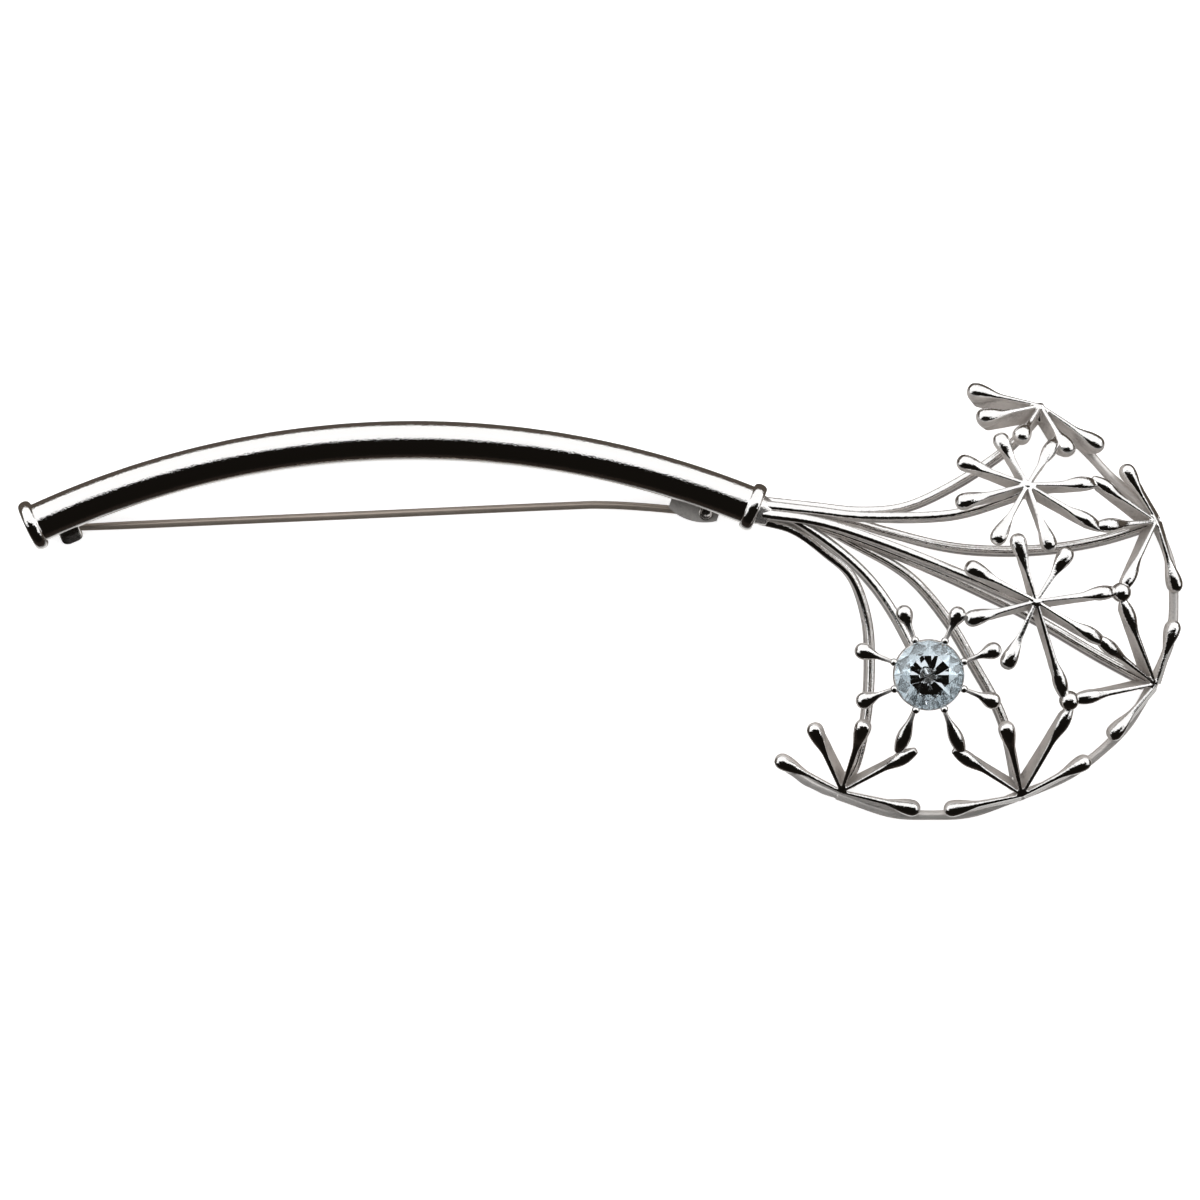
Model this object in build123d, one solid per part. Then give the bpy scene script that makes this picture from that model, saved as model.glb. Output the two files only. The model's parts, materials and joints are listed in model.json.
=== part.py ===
"""Silver brooch: a curved hollow stem with an umbel of eight drop-tipped florets, one set with a stone.

Frame: millimetres, lying on its back. +X runs along the stem to the flower head, +Z is the front.
The origin is under the middle of the brooch, on the surface that it lies on.
"""
from build123d import *
from dataclasses import dataclass
from math import acos, atan2, cos, degrees, hypot, radians, sin, sqrt
import os

os.makedirs("parts", exist_ok=True)

# ---- stem tube and its end beads ----
TUBE_R = 1.85
TUBE_WALL = 0.40
TUBE_Z = 3.10
BEND_R = 84.15
BEND_CENTRE = (-17.44, -69.20)
TAIL_ANGLE = 115.1
NECK_ANGLE = 67.8
BEAD_WIDTH = 1.25
TAIL_BEAD_R = 2.43
NECK_BEAD_R = 2.30
BEAD_ROUND = 0.50
CAP_DEPTH = 0.90
PLUG_DEPTH = 1.20
PLUG_NOSE = 1.40

# ---- pin, hinge and catch ----
PIN_R = 0.375
PIN_Z = 0.875
PIN_SHANK_TIP = (-44.50, 7.03)
PIN_BENDS = ((-0.60, 8.97), (6.60, 8.55))
PIN_TAPER = 4.10
PIN_POINT = 2.00
PIN_SHOULDER_R = 0.33
PIN_POINT_R = 0.10
RIVET = (9.95, 8.15)
RIVET_R = 0.45
RIVET_HEAD_R = 0.68
RIVET_HEAD_H = 0.26
EYE_R = 0.80
EYE_THICK = 0.85
BORE_CLEARANCE = 0.05
CHEEK = 0.40
CHEEK_TOP = 1.75
CHEEK_REACH = 3.20
CHEEK_BACK = 0.80
CHEEK_LEFT = 3.50
CHEEK_LEFT_REACH = 2.75
CHEEK_RIGHT = 1.20
CHEEK_RIGHT_REACH = 2.45
SPINE = 0.35
SPINE_LEFT = 1.60
CATCH_X = -50.60
CATCH_WIDTH = 2.00
CATCH_REACH = 3.00
CATCH_BACK = 0.68
CATCH_SHEET = 0.35
CATCH_TOP = 1.70
CATCH_CORNER_R = 0.60

# ---- flower head ----
DOME_CENTRE = (33.33, -0.22)
DOME_R = 30.5
RIM_R = 20.4
RIM_Z = 1.50
WIRE_R = 0.50
STALK_R = 0.43
STALK_JOIN_DEPTH = 1.00
BUNDLE_R = 0.97
FIN_HALF = 0.24
FIN_DEPTH = 2.10
RIM_FIN_DEPTH = 1.85
FIN_TIP_DEPTH = 0.30
RIDGE_HUB_R = 0.20
RIDGE_NECK_R = 0.36
DROP_R = 0.76
DROP_LENGTH = 3.0
DROP_FLOOR = 0.85
HUB_R = 0.62
HUB_CORE_R = 0.43
BALL_R = 0.95

# ---- stone and its setting ----
STONE_CENTRE = (30.60, -6.98)
STONE_R = 3.25
STONE_GIRDLE_Z = 8.85
STONE_GIRDLE = 0.25
STONE_TABLE_R = 1.80
STONE_CROWN = 1.00
STONE_PAVILION = 2.60
STONE_CULET_R = 0.15
STONE_FACETS = 16
COLLET_TOP_R = 3.05
COLLET_BASE_R = 1.50
COLLET_WALL = 0.40
COLLET_FLOOR = 0.40
COLLET_TOP_Z = 8.35
COLLET_BASE_Z = 5.60
GALLERY_WALL = 0.30
GALLERY_HEIGHT = 1.10
GALLERY_DROP = 0.75
CLAW_R = 0.34
CLAW_CIRCLE_R = 3.42
CLAW_FOOT_Z = 7.60
CLAW_TOP_Z = 9.35

LOW = (Align.CENTER, Align.CENTER, Align.MIN)
HIGH = (Align.CENTER, Align.CENTER, Align.MAX)


@dataclass(frozen=True)
class Floret:
    """One star of arms: its hub in plan, the lean of its axis from +Z, and each arm's heading and length."""

    name: str
    hub: tuple
    lean: float
    arms: tuple


@dataclass(frozen=True)
class Stalk:
    """One ray from the neck: its seat angle in the bundle, the floret it ends in, its way in plan, its rise."""

    name: str
    floret: str
    seat: float
    way: tuple
    rise: float


FLORETS = (
    Floret("floret_crown", (41.4, 18.3), 56, ((168, 7.1), (192, 6.3), (236, 4.2), (300, 5.5), (325, 7.2))),
    Floret("floret_upper", (39.9, 10.8), 28, ((120, 5.5), (56, 4.9), (161, 7.0), (195, 7.1), (240, 6.5),
                                              (289, 6.7), (1, 6.3), (329, 7.7))),
    Floret("floret_rim_right", (52.3, 7.4), 42, ((121, 6.2), (147, 7.0), (185, 5.7), (242, 7.0), (286, 7.0))),
    Floret("floret_centre", (40.6, -0.1), 18, ((107, 6.6), (57, 5.9), (7, 7.4), (329, 7.2), (287, 9.1),
                                               (245, 7.0), (195, 7.0), (153, 7.5))),
    Floret("floret_rim_low", (52.2, -7.9), 42, ((73, 6.3), (113, 8.3), (143, 6.9), (190, 7.8), (229, 6.8))),
    Floret("floret_rim_base", (39.6, -18.3), 42, ((191, 7.5), (147, 7.5), (105, 7.2), (62, 9.0), (28, 7.3))),
    Floret("floret_rim_left", (22.7, -18.0), 42, ((153, 7.0), (114, 7.1), (73, 7.1), (30, 7.5), (-13, 7.6))),
    Floret("floret_stone", STONE_CENTRE, 4, ((112, 7.0), (65, 7.0), (160, 7.3), (21, 7.2), (202, 7.2),
                                             (338, 7.2), (249, 7.4), (294, 7.6))),
)

STALKS = (
    Stalk("stalk_crown", "floret_crown", 0,
          ((20.0, 8.8), (24.5, 8.4), (28.8, 8.9), (33.3, 11.0), (37.0, 13.4), (39.1, 15.2)), 1.0),
    Stalk("stalk_upper", "floret_upper", 51,
          ((20.0, 8.4), (25.0, 7.9), (32.7, 8.1), (38.0, 9.6)), 1.5),
    Stalk("stalk_centre", "floret_centre", 103,
          ((20.7, 7.3), (26.6, 5.4), (33.6, 2.6), (37.6, 0.8)), 1.4),
    Stalk("stalk_stone", "floret_stone", 154,
          ((17.1, 8.1), (20.9, 5.9), (24.8, 2.6), (27.6, -1.2)), 1.3),
    Stalk("stalk_rim_left", "floret_rim_left", 206,
          ((18.2, 6.6), (21.3, 4.4), (23.8, 2.1), (25.2, -1.8), (25.5, -6.0), (25.2, -10.8), (24.2, -15.4)), 1.0),
    Stalk("stalk_rim_base", "floret_rim_base", 257,
          ((19.0, 7.7), (23.8, 5.4), (29.0, 2.4), (32.6, -1.6), (35.2, -5.9), (38.0, -11.3)), 1.0),
    Stalk("stalk_rim_right", "floret_rim_right", 309,
          ((23.0, 7.6), (26.6, 6.6), (31.8, 5.3), (36.3, 4.8), (41.6, 4.9), (46.8, 5.7)), 1.0),
    Stalk("stalk_rim_low", "floret_rim_low", None,
          ((20.7, 6.9), (26.5, 4.9), (33.5, 2.0), (40.5, -1.4), (46.7, -5.0)), 1.0),
)

RIM_ARCS = (
    ("rim_wire_crown", (42.0, 17.3), (48.0, 11.6), (52.1, 7.9)),
    ("rim_wire_right", (52.3, 7.0), (54.0, -0.1), (52.2, -7.4)),
    ("rim_wire_low", (51.9, -8.3), (46.7, -14.6), (40.1, -18.3)),
    ("rim_wire_base", (39.1, -18.6), (31.0, -20.3), (23.2, -18.6)),
    ("rim_tail", (22.2, -18.4), (20.0, -17.3), (17.6, -15.7)),
)

STONE_FLORET = "floret_stone"
RIM_HUBS = tuple(f.hub for f in FLORETS if f.lean > 40)

SOLDER_BALLS = (("solder_ball_upper", (48.7, 0.7)), ("solder_ball_lower", (43.8, -9.4)))


def dome_height(x, y):
    """Height of the arm ridges: a sphere cap through the rim circle, never below a lying drop."""
    out = (x - DOME_CENTRE[0]) ** 2 + (y - DOME_CENTRE[1]) ** 2
    cap = sqrt(max(DOME_R**2 - out, 0.0)) - sqrt(DOME_R**2 - RIM_R**2)
    return max(RIM_Z + cap, DROP_FLOOR)


def stem_point(angle, offset=0.0):
    """A point on the stem's centreline at an angle about the bend centre, moved towards that centre."""
    reach = BEND_R - offset
    x = BEND_CENTRE[0] + reach * cos(radians(angle))
    y = BEND_CENTRE[1] + reach * sin(radians(angle))
    return Vector(x, y, TUBE_Z)


def stem_plane(angle, outward=1):
    """A plane square to the stem at an angle, its normal along the stem, +1 towards the neck."""
    along = Vector(sin(radians(angle)), -cos(radians(angle)), 0) * outward
    return Plane(origin=stem_point(angle), x_dir=(0, 0, 1), z_dir=along)


def stem_bar(radius):
    """The stem's full length as a solid bar of a radius: a circle turned about the bend centre."""
    section = stem_plane(TAIL_ANGLE) * Circle(radius)
    axis = Axis((BEND_CENTRE[0], BEND_CENTRE[1], TUBE_Z), (0, 0, -1))
    return revolve(section, axis=axis, revolution_arc=TAIL_ANGLE - NECK_ANGLE)


def end_bead(angle, radius):
    """A round-edged ring about the end of the stem."""
    ring = Cylinder(radius, BEAD_WIDTH)
    ring = fillet(ring.edges().filter_by(GeomType.CIRCLE), BEAD_ROUND)
    return stem_plane(angle) * (ring - Cylinder(TUBE_R, BEAD_WIDTH * 2))


def tail_cap():
    """The disc that closes the free end, its outer edge rounded."""
    disc = Cylinder(TUBE_R - TUBE_WALL, CAP_DEPTH, align=HIGH)
    rounded = fillet(disc.faces().sort_by(Axis.Z)[-1].edges(), CAP_DEPTH / 3)
    return stem_plane(TAIL_ANGLE, outward=-1) * rounded


def neck_plug():
    """The plug in the neck end, with the short cone that the stalks are fused to."""
    radius = TUBE_R - TUBE_WALL
    seat = Cylinder(radius, PLUG_DEPTH, align=HIGH)
    nose = Cone(radius, BUNDLE_R + STALK_R / 2, PLUG_NOSE, align=LOW)
    return stem_plane(NECK_ANGLE) * (seat + nose)


def round_path(points):
    """A path of straight runs, each corner turned by the largest arc that its two runs allow."""
    radii = []
    for before, corner, after in zip(points, points[1:], points[2:]):
        run_in = corner - before
        run_out = after - corner
        half_turn = radians(run_in.get_angle(run_out)) / 2
        radii.append(0.45 * min(run_in.length, run_out.length) / sin(half_turn) * cos(half_turn))
    return FilletPolyline(*points, radius=radii)


def rod_along(path, radius):
    """A round rod carried along a path."""
    start = Plane(origin=path @ 0, z_dir=path % 0)
    return sweep(start * Circle(radius), path=path)


def floret_axis(floret):
    """The direction that a floret faces: it leans out from the middle of the dome."""
    away = Vector(floret.hub[0] - DOME_CENTRE[0], floret.hub[1] - DOME_CENTRE[1], 0).normalized()
    lean = radians(floret.lean)
    return away * sin(lean) + Vector(0, 0, 1) * cos(lean)


def floret_hub(floret):
    """The point where a floret's ridges meet."""
    return Vector(floret.hub[0], floret.hub[1], dome_height(*floret.hub))


def drop_outline(start, reach):
    """Half of a ridge with its drop, beside the arm's own axis: two cones that run into a ball."""
    centre = reach - DROP_R
    neck = reach - DROP_LENGTH
    towards_neck = atan2(RIDGE_NECK_R, neck - centre)
    turn = towards_neck - acos(DROP_R / hypot(centre - neck, RIDGE_NECK_R))
    touch = (centre + DROP_R * cos(turn), DROP_R * sin(turn))
    crest = (centre + DROP_R * cos(turn / 2), DROP_R * sin(turn / 2))
    slopes = Polyline((reach, 0), (start, 0), (start, RIDGE_HUB_R), (neck, RIDGE_NECK_R), touch)
    return make_face(slopes + ThreePointArc(touch, crest, (reach, 0)))


def arm(hub, axis, heading, length, depth, start=0.0):
    """One arm: a thin fin of a depth at the hub under a tapered ridge, ending in a drop."""
    tip_x = hub.X + length * cos(radians(heading))
    tip_y = hub.Y + length * sin(radians(heading))
    tip = Vector(tip_x, tip_y, dome_height(tip_x, tip_y))
    along = (tip - hub).normalized()
    reach = (tip - hub).length
    side = along.cross(axis * -1).normalized()
    plane = Plane(origin=hub, x_dir=along, z_dir=side)
    fin_end = reach - DROP_R
    outline = Polyline((start, 0), (fin_end, 0), (fin_end, FIN_TIP_DEPTH), (start, depth), close=True)
    fin = extrude(plane * make_face(outline), amount=FIN_HALF, both=True)
    ridge = revolve(plane * drop_outline(start, reach), axis=Axis(hub, along))
    return fin + ridge


def rim_foot(hub):
    """The short post under a rim floret's hub, down to the surface, that the rim wires run into."""
    return Pos(hub.X, hub.Y, 0) * Cylinder(HUB_R, hub.Z, align=LOW)


def make_floret(floret, stone):
    """A whole floret: its arms round a hub, or round the stone's seat."""
    hub = floret_hub(floret)
    axis = floret_axis(floret)
    depth = RIM_FIN_DEPTH if floret.hub in RIM_HUBS else FIN_DEPTH
    if floret.name == STONE_FLORET:
        body = gallery_ring(hub)
        start = COLLET_TOP_R
    else:
        body = Plane(origin=hub, z_dir=axis * -1) * Cylinder(HUB_CORE_R, depth, align=LOW)
        start = 0.0
    for heading, length in floret.arms:
        body = body + arm(hub, axis, heading, length, depth, start)
    if floret.name == STONE_FLORET:
        return body - collet_cone(0.0) - stone
    return body + rim_foot(hub) if floret.hub in RIM_HUBS else body


def gallery_ring(hub):
    """The ring round the stone's seat that the stone floret's arms are cast with."""
    ring = Cylinder(COLLET_TOP_R + GALLERY_WALL, GALLERY_HEIGHT)
    return Pos(hub.X, hub.Y, hub.Z - GALLERY_DROP) * (ring - Cylinder(COLLET_TOP_R - GALLERY_WALL, GALLERY_HEIGHT * 2))


def collet_cone(inset):
    """The flared cone of the stone's seat, its wall moved inwards by an inset."""
    height = COLLET_TOP_Z - COLLET_BASE_Z
    cone = Cone(COLLET_BASE_R - inset, COLLET_TOP_R - inset, height, align=LOW)
    return Pos(*STONE_CENTRE, COLLET_BASE_Z) * cone


def stone_collet(stone):
    """The flared cup under the stone: closed at its foot, and cut to the stone's slope at its lip."""
    floor_z = COLLET_BASE_Z + COLLET_FLOOR
    above = Pos(*STONE_CENTRE, floor_z) * Box(10, 10, 10, align=LOW)
    hollow = collet_cone(COLLET_WALL) & above
    return collet_cone(0.0) - hollow - stone


def cut_stone():
    """The round stone: flat table, sloping crown, thin girdle and pointed pavilion, each of flat facets."""
    girdle_low = STONE_GIRDLE_Z - STONE_GIRDLE / 2
    girdle_high = STONE_GIRDLE_Z + STONE_GIRDLE / 2
    levels = (
        (girdle_low - STONE_PAVILION, STONE_CULET_R),
        (girdle_low, STONE_R),
        (girdle_high, STONE_R),
        (girdle_high + STONE_CROWN, STONE_TABLE_R),
    )
    rings = [Pos(*STONE_CENTRE, z) * RegularPolygon(radius, STONE_FACETS) for z, radius in levels]
    return loft(rings, ruled=True)


def claws(floret, stone):
    """The claws that hold the stone, one over each arm: a post with a round head, notched for the girdle."""
    made = []
    for heading, _ in floret.arms:
        x = STONE_CENTRE[0] + CLAW_CIRCLE_R * cos(radians(heading))
        y = STONE_CENTRE[1] + CLAW_CIRCLE_R * sin(radians(heading))
        post = Pos(x, y, CLAW_FOOT_Z) * Cylinder(CLAW_R, CLAW_TOP_Z - CLAW_FOOT_Z, align=LOW)
        made.append(post + Pos(x, y, CLAW_TOP_Z) * Sphere(CLAW_R) - stone)
    return Compound(children=[solid for claw in made for solid in claw.solids()])


def make_stalk(stalk, florets):
    """One ray: from its seat in the neck bundle, along its way in plan, to the underside of its floret."""
    neck = stem_plane(NECK_ANGLE)
    if stalk.seat is None:
        start = neck.origin + neck.z_dir * (PLUG_NOSE - 0.2)
    else:
        seat = radians(stalk.seat)
        sideways = Vector(0, 0, 1).cross(neck.z_dir)
        spread = sideways * cos(seat) + Vector(0, 0, 1) * sin(seat)
        start = neck.origin + neck.z_dir * (PLUG_NOSE - 0.2) + spread * BUNDLE_R
    floret = florets[stalk.floret]
    hub = floret_hub(floret)
    end = hub - floret_axis(floret) * STALK_JOIN_DEPTH
    if stalk.floret == STONE_FLORET:
        end = Vector(*STONE_CENTRE, COLLET_BASE_Z + STALK_R / 2)
    plan = [(start.X, start.Y), *stalk.way, (end.X, end.Y)]
    runs = [hypot(b[0] - a[0], b[1] - a[1]) for a, b in zip(plan, plan[1:])]
    points = []
    for index, (x, y) in enumerate(plan):
        share = sum(runs[:index]) / sum(runs)
        points.append(Vector(x, y, start.Z + (end.Z - start.Z) * share**stalk.rise))
    return rod_along(round_path(points), STALK_R)


def rim_wire(start, middle, end):
    """A stretch of the round wire that ties the outer florets together, lying on the surface."""
    path = ThreePointArc(*[(x, y, WIRE_R) for x, y in (start, middle, end)])
    return rod_along(path, WIRE_R)


def back_point(angle, along, inward):
    """A point in plan beside the stem: along it towards the neck, and inward towards the bend's centre."""
    centre = stem_point(angle, inward)
    return centre.X + along * sin(radians(angle)), centre.Y - along * cos(radians(angle))


def slab(outline, low, high):
    """A flat plate of an outline in plan, between two heights."""
    return Pos(0, 0, low) * extrude(make_face(outline), amount=high - low)


def hinge_bracket(stem):
    """The folded hinge bracket: two bowed cheeks and their back wall, saddled to the stem."""
    angle = degrees(atan2(RIVET[1] - BEND_CENTRE[1], RIVET[0] - BEND_CENTRE[0]))
    left_back = back_point(angle, -CHEEK_LEFT, CHEEK_BACK)
    left = back_point(angle, -CHEEK_LEFT, CHEEK_LEFT_REACH)
    crest = back_point(angle, (CHEEK_RIGHT - CHEEK_LEFT) / 2, CHEEK_REACH)
    right = back_point(angle, CHEEK_RIGHT, CHEEK_RIGHT_REACH)
    right_back = back_point(angle, CHEEK_RIGHT, CHEEK_BACK)
    cheek = ThreePointArc(left, crest, right) + Polyline(right, right_back, left_back, left)
    wall_corners = ((-SPINE_LEFT, CHEEK_BACK), (CHEEK_RIGHT, CHEEK_BACK),
                    (CHEEK_RIGHT - SPINE, CHEEK_BACK + SPINE), (-SPINE_LEFT, CHEEK_BACK + SPINE))
    wall = Polyline(*[back_point(angle, *corner) for corner in wall_corners], close=True)
    folded = slab(cheek, 0, CHEEK) + slab(cheek, CHEEK_TOP - CHEEK, CHEEK_TOP) + slab(wall, 0, CHEEK_TOP)
    hole = Pos(*RIVET, 0) * Cylinder(RIVET_R, CHEEK_TOP * 2)
    return folded - hole - stem


def hinge_rivet():
    """The rivet that the pin turns on: flush at the back, a low round head in front."""
    shank = Pos(*RIVET, 0) * Cylinder(RIVET_R, CHEEK_TOP, align=LOW)
    head = Pos(*RIVET, CHEEK_TOP) * Cone(RIVET_HEAD_R, RIVET_HEAD_R * 0.6, RIVET_HEAD_H, align=LOW)
    return shank + head


def pin_eye():
    """The flat round eye that turns on the rivet between the cheeks."""
    eye = Cylinder(EYE_R, EYE_THICK) - Cylinder(RIVET_R + BORE_CLEARANCE, EYE_THICK * 2)
    return Pos(*RIVET, PIN_Z) * eye


def pin_wire():
    """The pin: a bent tail into the eye, a long straight shank, and a tapered point."""
    shank_tip = Vector(*PIN_SHANK_TIP, PIN_Z)
    bends = [Vector(x, y, PIN_Z) for x, y in PIN_BENDS]
    rivet = Vector(*RIVET, PIN_Z)
    inside = rivet + (bends[-1] - rivet).normalized() * (EYE_R - PIN_R / 2)
    wire = rod_along(round_path([shank_tip, *bends, inside]), PIN_R)
    along = (shank_tip - bends[0]).normalized()
    taper = Plane(origin=shank_tip, z_dir=along) * Cone(PIN_R, PIN_SHOULDER_R, PIN_TAPER, align=LOW)
    shoulder = shank_tip + along * PIN_TAPER
    point = Plane(origin=shoulder, z_dir=along) * Cone(PIN_SHOULDER_R, PIN_POINT_R, PIN_POINT, align=LOW)
    return wire + taper + point - Pos(*RIVET, PIN_Z) * Cylinder(EYE_R, EYE_THICK)


def catch(stem):
    """The catch: a strip folded round the pin's point, open away from the stem, saddled to the stem."""
    angle = degrees(acos((CATCH_X - BEND_CENTRE[0]) / BEND_R))
    half = CATCH_WIDTH / 2
    corners = ((-half, CATCH_BACK), (half, CATCH_BACK), (half, CATCH_REACH), (-half, CATCH_REACH))
    outline = Polyline(*[back_point(angle, *corner) for corner in corners], close=True)
    lip = make_face(outline)
    outer = sorted(lip.vertices(), key=lambda v: v.Y)[:2]
    lip = fillet(outer, CATCH_CORNER_R)
    low_lip = extrude(lip, amount=CATCH_SHEET)
    wall_corners = ((-half, CATCH_BACK), (half, CATCH_BACK),
                    (half, CATCH_BACK + CATCH_SHEET), (-half, CATCH_BACK + CATCH_SHEET))
    wall = Polyline(*[back_point(angle, *corner) for corner in wall_corners], close=True)
    folded = low_lip + Pos(0, 0, CATCH_TOP - CATCH_SHEET) * low_lip + slab(wall, 0, CATCH_TOP)
    return folded - stem


def make_parts():
    """Every node of the brooch, by name."""
    florets = {floret.name: floret for floret in FLORETS}
    stem = stem_bar(TUBE_R)
    stone = cut_stone()
    parts = {
        "stem_tube": stem - stem_bar(TUBE_R - TUBE_WALL),
        "tail_bead": end_bead(TAIL_ANGLE, TAIL_BEAD_R),
        "tail_cap": tail_cap(),
        "neck_bead": end_bead(NECK_ANGLE, NECK_BEAD_R),
        "neck_plug": neck_plug(),
        "hinge_bracket": hinge_bracket(stem),
        "hinge_rivet": hinge_rivet(),
        "pin_eye": pin_eye(),
        "pin_wire": pin_wire(),
        "catch": catch(stem),
        "stone": stone,
        "stone_collet": stone_collet(stone),
        "stone_claws": claws(florets[STONE_FLORET], stone),
    }
    for floret in FLORETS:
        parts[floret.name] = make_floret(floret, stone)
    for stalk in STALKS:
        parts[stalk.name] = make_stalk(stalk, florets)
    for name, start, middle, end in RIM_ARCS:
        parts[name] = rim_wire(start, middle, end)
    for name, (x, y) in SOLDER_BALLS:
        parts[name] = Pos(x, y, dome_height(x, y)) * Sphere(BALL_R)
    return parts


for name, shape in make_parts().items():
    export_step(shape, f"parts/{name}.step")
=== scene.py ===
"""Looks of a silver bar brooch with an umbel flower head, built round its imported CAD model.

Everything is in metres in the model's own frame: +X runs along the stem to the flower head and +Z is the front.
Shapes are numpy grids: sections carried along paths, and profiles turned about an axis.
"""
import json
import logging
import math
from dataclasses import dataclass, field
from enum import Enum

import bmesh
import bpy
import numpy as np
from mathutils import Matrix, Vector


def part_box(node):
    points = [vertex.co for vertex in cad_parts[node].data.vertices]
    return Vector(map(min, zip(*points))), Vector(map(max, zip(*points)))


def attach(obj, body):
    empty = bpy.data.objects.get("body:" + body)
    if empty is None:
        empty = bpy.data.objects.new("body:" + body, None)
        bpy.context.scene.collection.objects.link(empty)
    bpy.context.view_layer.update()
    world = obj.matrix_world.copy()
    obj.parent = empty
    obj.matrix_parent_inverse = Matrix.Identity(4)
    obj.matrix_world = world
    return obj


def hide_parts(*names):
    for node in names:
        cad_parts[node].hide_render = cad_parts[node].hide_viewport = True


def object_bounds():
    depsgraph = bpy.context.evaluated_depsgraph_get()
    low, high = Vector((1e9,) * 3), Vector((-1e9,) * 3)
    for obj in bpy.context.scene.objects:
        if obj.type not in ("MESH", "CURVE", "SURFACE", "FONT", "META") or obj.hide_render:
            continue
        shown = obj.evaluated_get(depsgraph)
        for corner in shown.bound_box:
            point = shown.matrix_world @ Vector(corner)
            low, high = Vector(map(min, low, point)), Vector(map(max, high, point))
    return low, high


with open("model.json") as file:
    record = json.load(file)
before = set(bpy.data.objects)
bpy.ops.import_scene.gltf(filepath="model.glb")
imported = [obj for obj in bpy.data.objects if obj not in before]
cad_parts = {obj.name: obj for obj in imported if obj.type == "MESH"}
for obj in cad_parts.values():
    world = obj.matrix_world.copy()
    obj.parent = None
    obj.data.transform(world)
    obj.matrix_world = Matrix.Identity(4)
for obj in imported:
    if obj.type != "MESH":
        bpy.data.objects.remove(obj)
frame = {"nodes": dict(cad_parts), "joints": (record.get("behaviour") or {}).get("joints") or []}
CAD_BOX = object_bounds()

Grid = np.ndarray
MM = 0.001
TAU = 2.0 * math.pi
HAIR = 0.005 * MM
POLE = 0.002 * MM
FRONT = np.array([0.0, 0.0, 1.0])
log = logging.getLogger("brooch")


class Slot(Enum):
    """The record's material slots, one for each finish."""

    POLISHED = "polished_silver"
    CAST = "cast_silver"
    SATIN = "satin_silver"
    WIRE = "pin_steel"
    STONE = "pale_blue_stone"


# ---------------------------------------------------------------- mesh tools


def unit(vectors: Grid) -> Grid:
    """Vectors scaled to length one along their last axis."""
    return vectors / np.maximum(np.linalg.norm(vectors, axis=-1, keepdims=True), 1e-12)


def smooth_step(low: float, high: float, values: Grid) -> Grid:
    """Zero below low, one above high, and an even S between them."""
    share = np.clip((values - low) / (high - low), 0.0, 1.0)
    return share * share * (3.0 - 2.0 * share)


def curve_through(points: Grid, count: int) -> Grid:
    """A smooth line through a few points, evenly spaced.

    It is a Catmull-Rom curve: on each span, the cubic whose slope at a point is half the step between that
    point's two neighbours. It is sampled finely, then resampled at equal lengths.

    Args:
        points: The points that it passes through, n by 3.
        count: How many points the result has.

    Returns:
        The line's points, count by 3.
    """
    ends = np.vstack([2 * points[0] - points[1], points, 2 * points[-1] - points[-2]])
    share = np.linspace(0.0, 1.0, 40, endpoint=False)[None, :, None]
    a, b, c, d = (ends[i:len(ends) - 3 + i, None, :] for i in range(4))
    spans = 0.5 * (2 * b + (c - a) * share + (2 * a - 5 * b + 4 * c - d) * share**2
                   + (3 * b - a - 3 * c + d) * share**3)
    fine = np.vstack([spans.reshape(-1, 3), points[-1:]])
    length = np.concatenate([[0.0], np.cumsum(np.linalg.norm(np.diff(fine, axis=0), axis=1))])
    even = np.linspace(0.0, length[-1], count)
    return np.stack([np.interp(even, length, fine[:, axis]) for axis in range(3)], axis=1)


def lengths_along(path: Grid) -> Grid:
    """The distance of each point of a path from its start."""
    return np.concatenate([[0.0], np.cumsum(np.linalg.norm(np.diff(path, axis=0), axis=1))])


def new_object(name: str, points: Grid, faces: list) -> bpy.types.Object:
    """Makes an object of points and faces, with the faces turned outwards.

    Args:
        name: The object's name.
        points: Its points, n by 3.
        faces: The corners of each face, by index.

    Returns:
        The object, in the scene.
    """
    mesh = bpy.data.meshes.new(name)
    mesh.from_pydata(points, [], faces)
    work = bmesh.new()
    work.from_mesh(mesh)
    bmesh.ops.recalc_face_normals(work, faces=work.faces)
    work.to_mesh(mesh)
    work.free()
    made = bpy.data.objects.new(name, mesh)
    bpy.context.scene.collection.objects.link(made)
    return made


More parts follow.
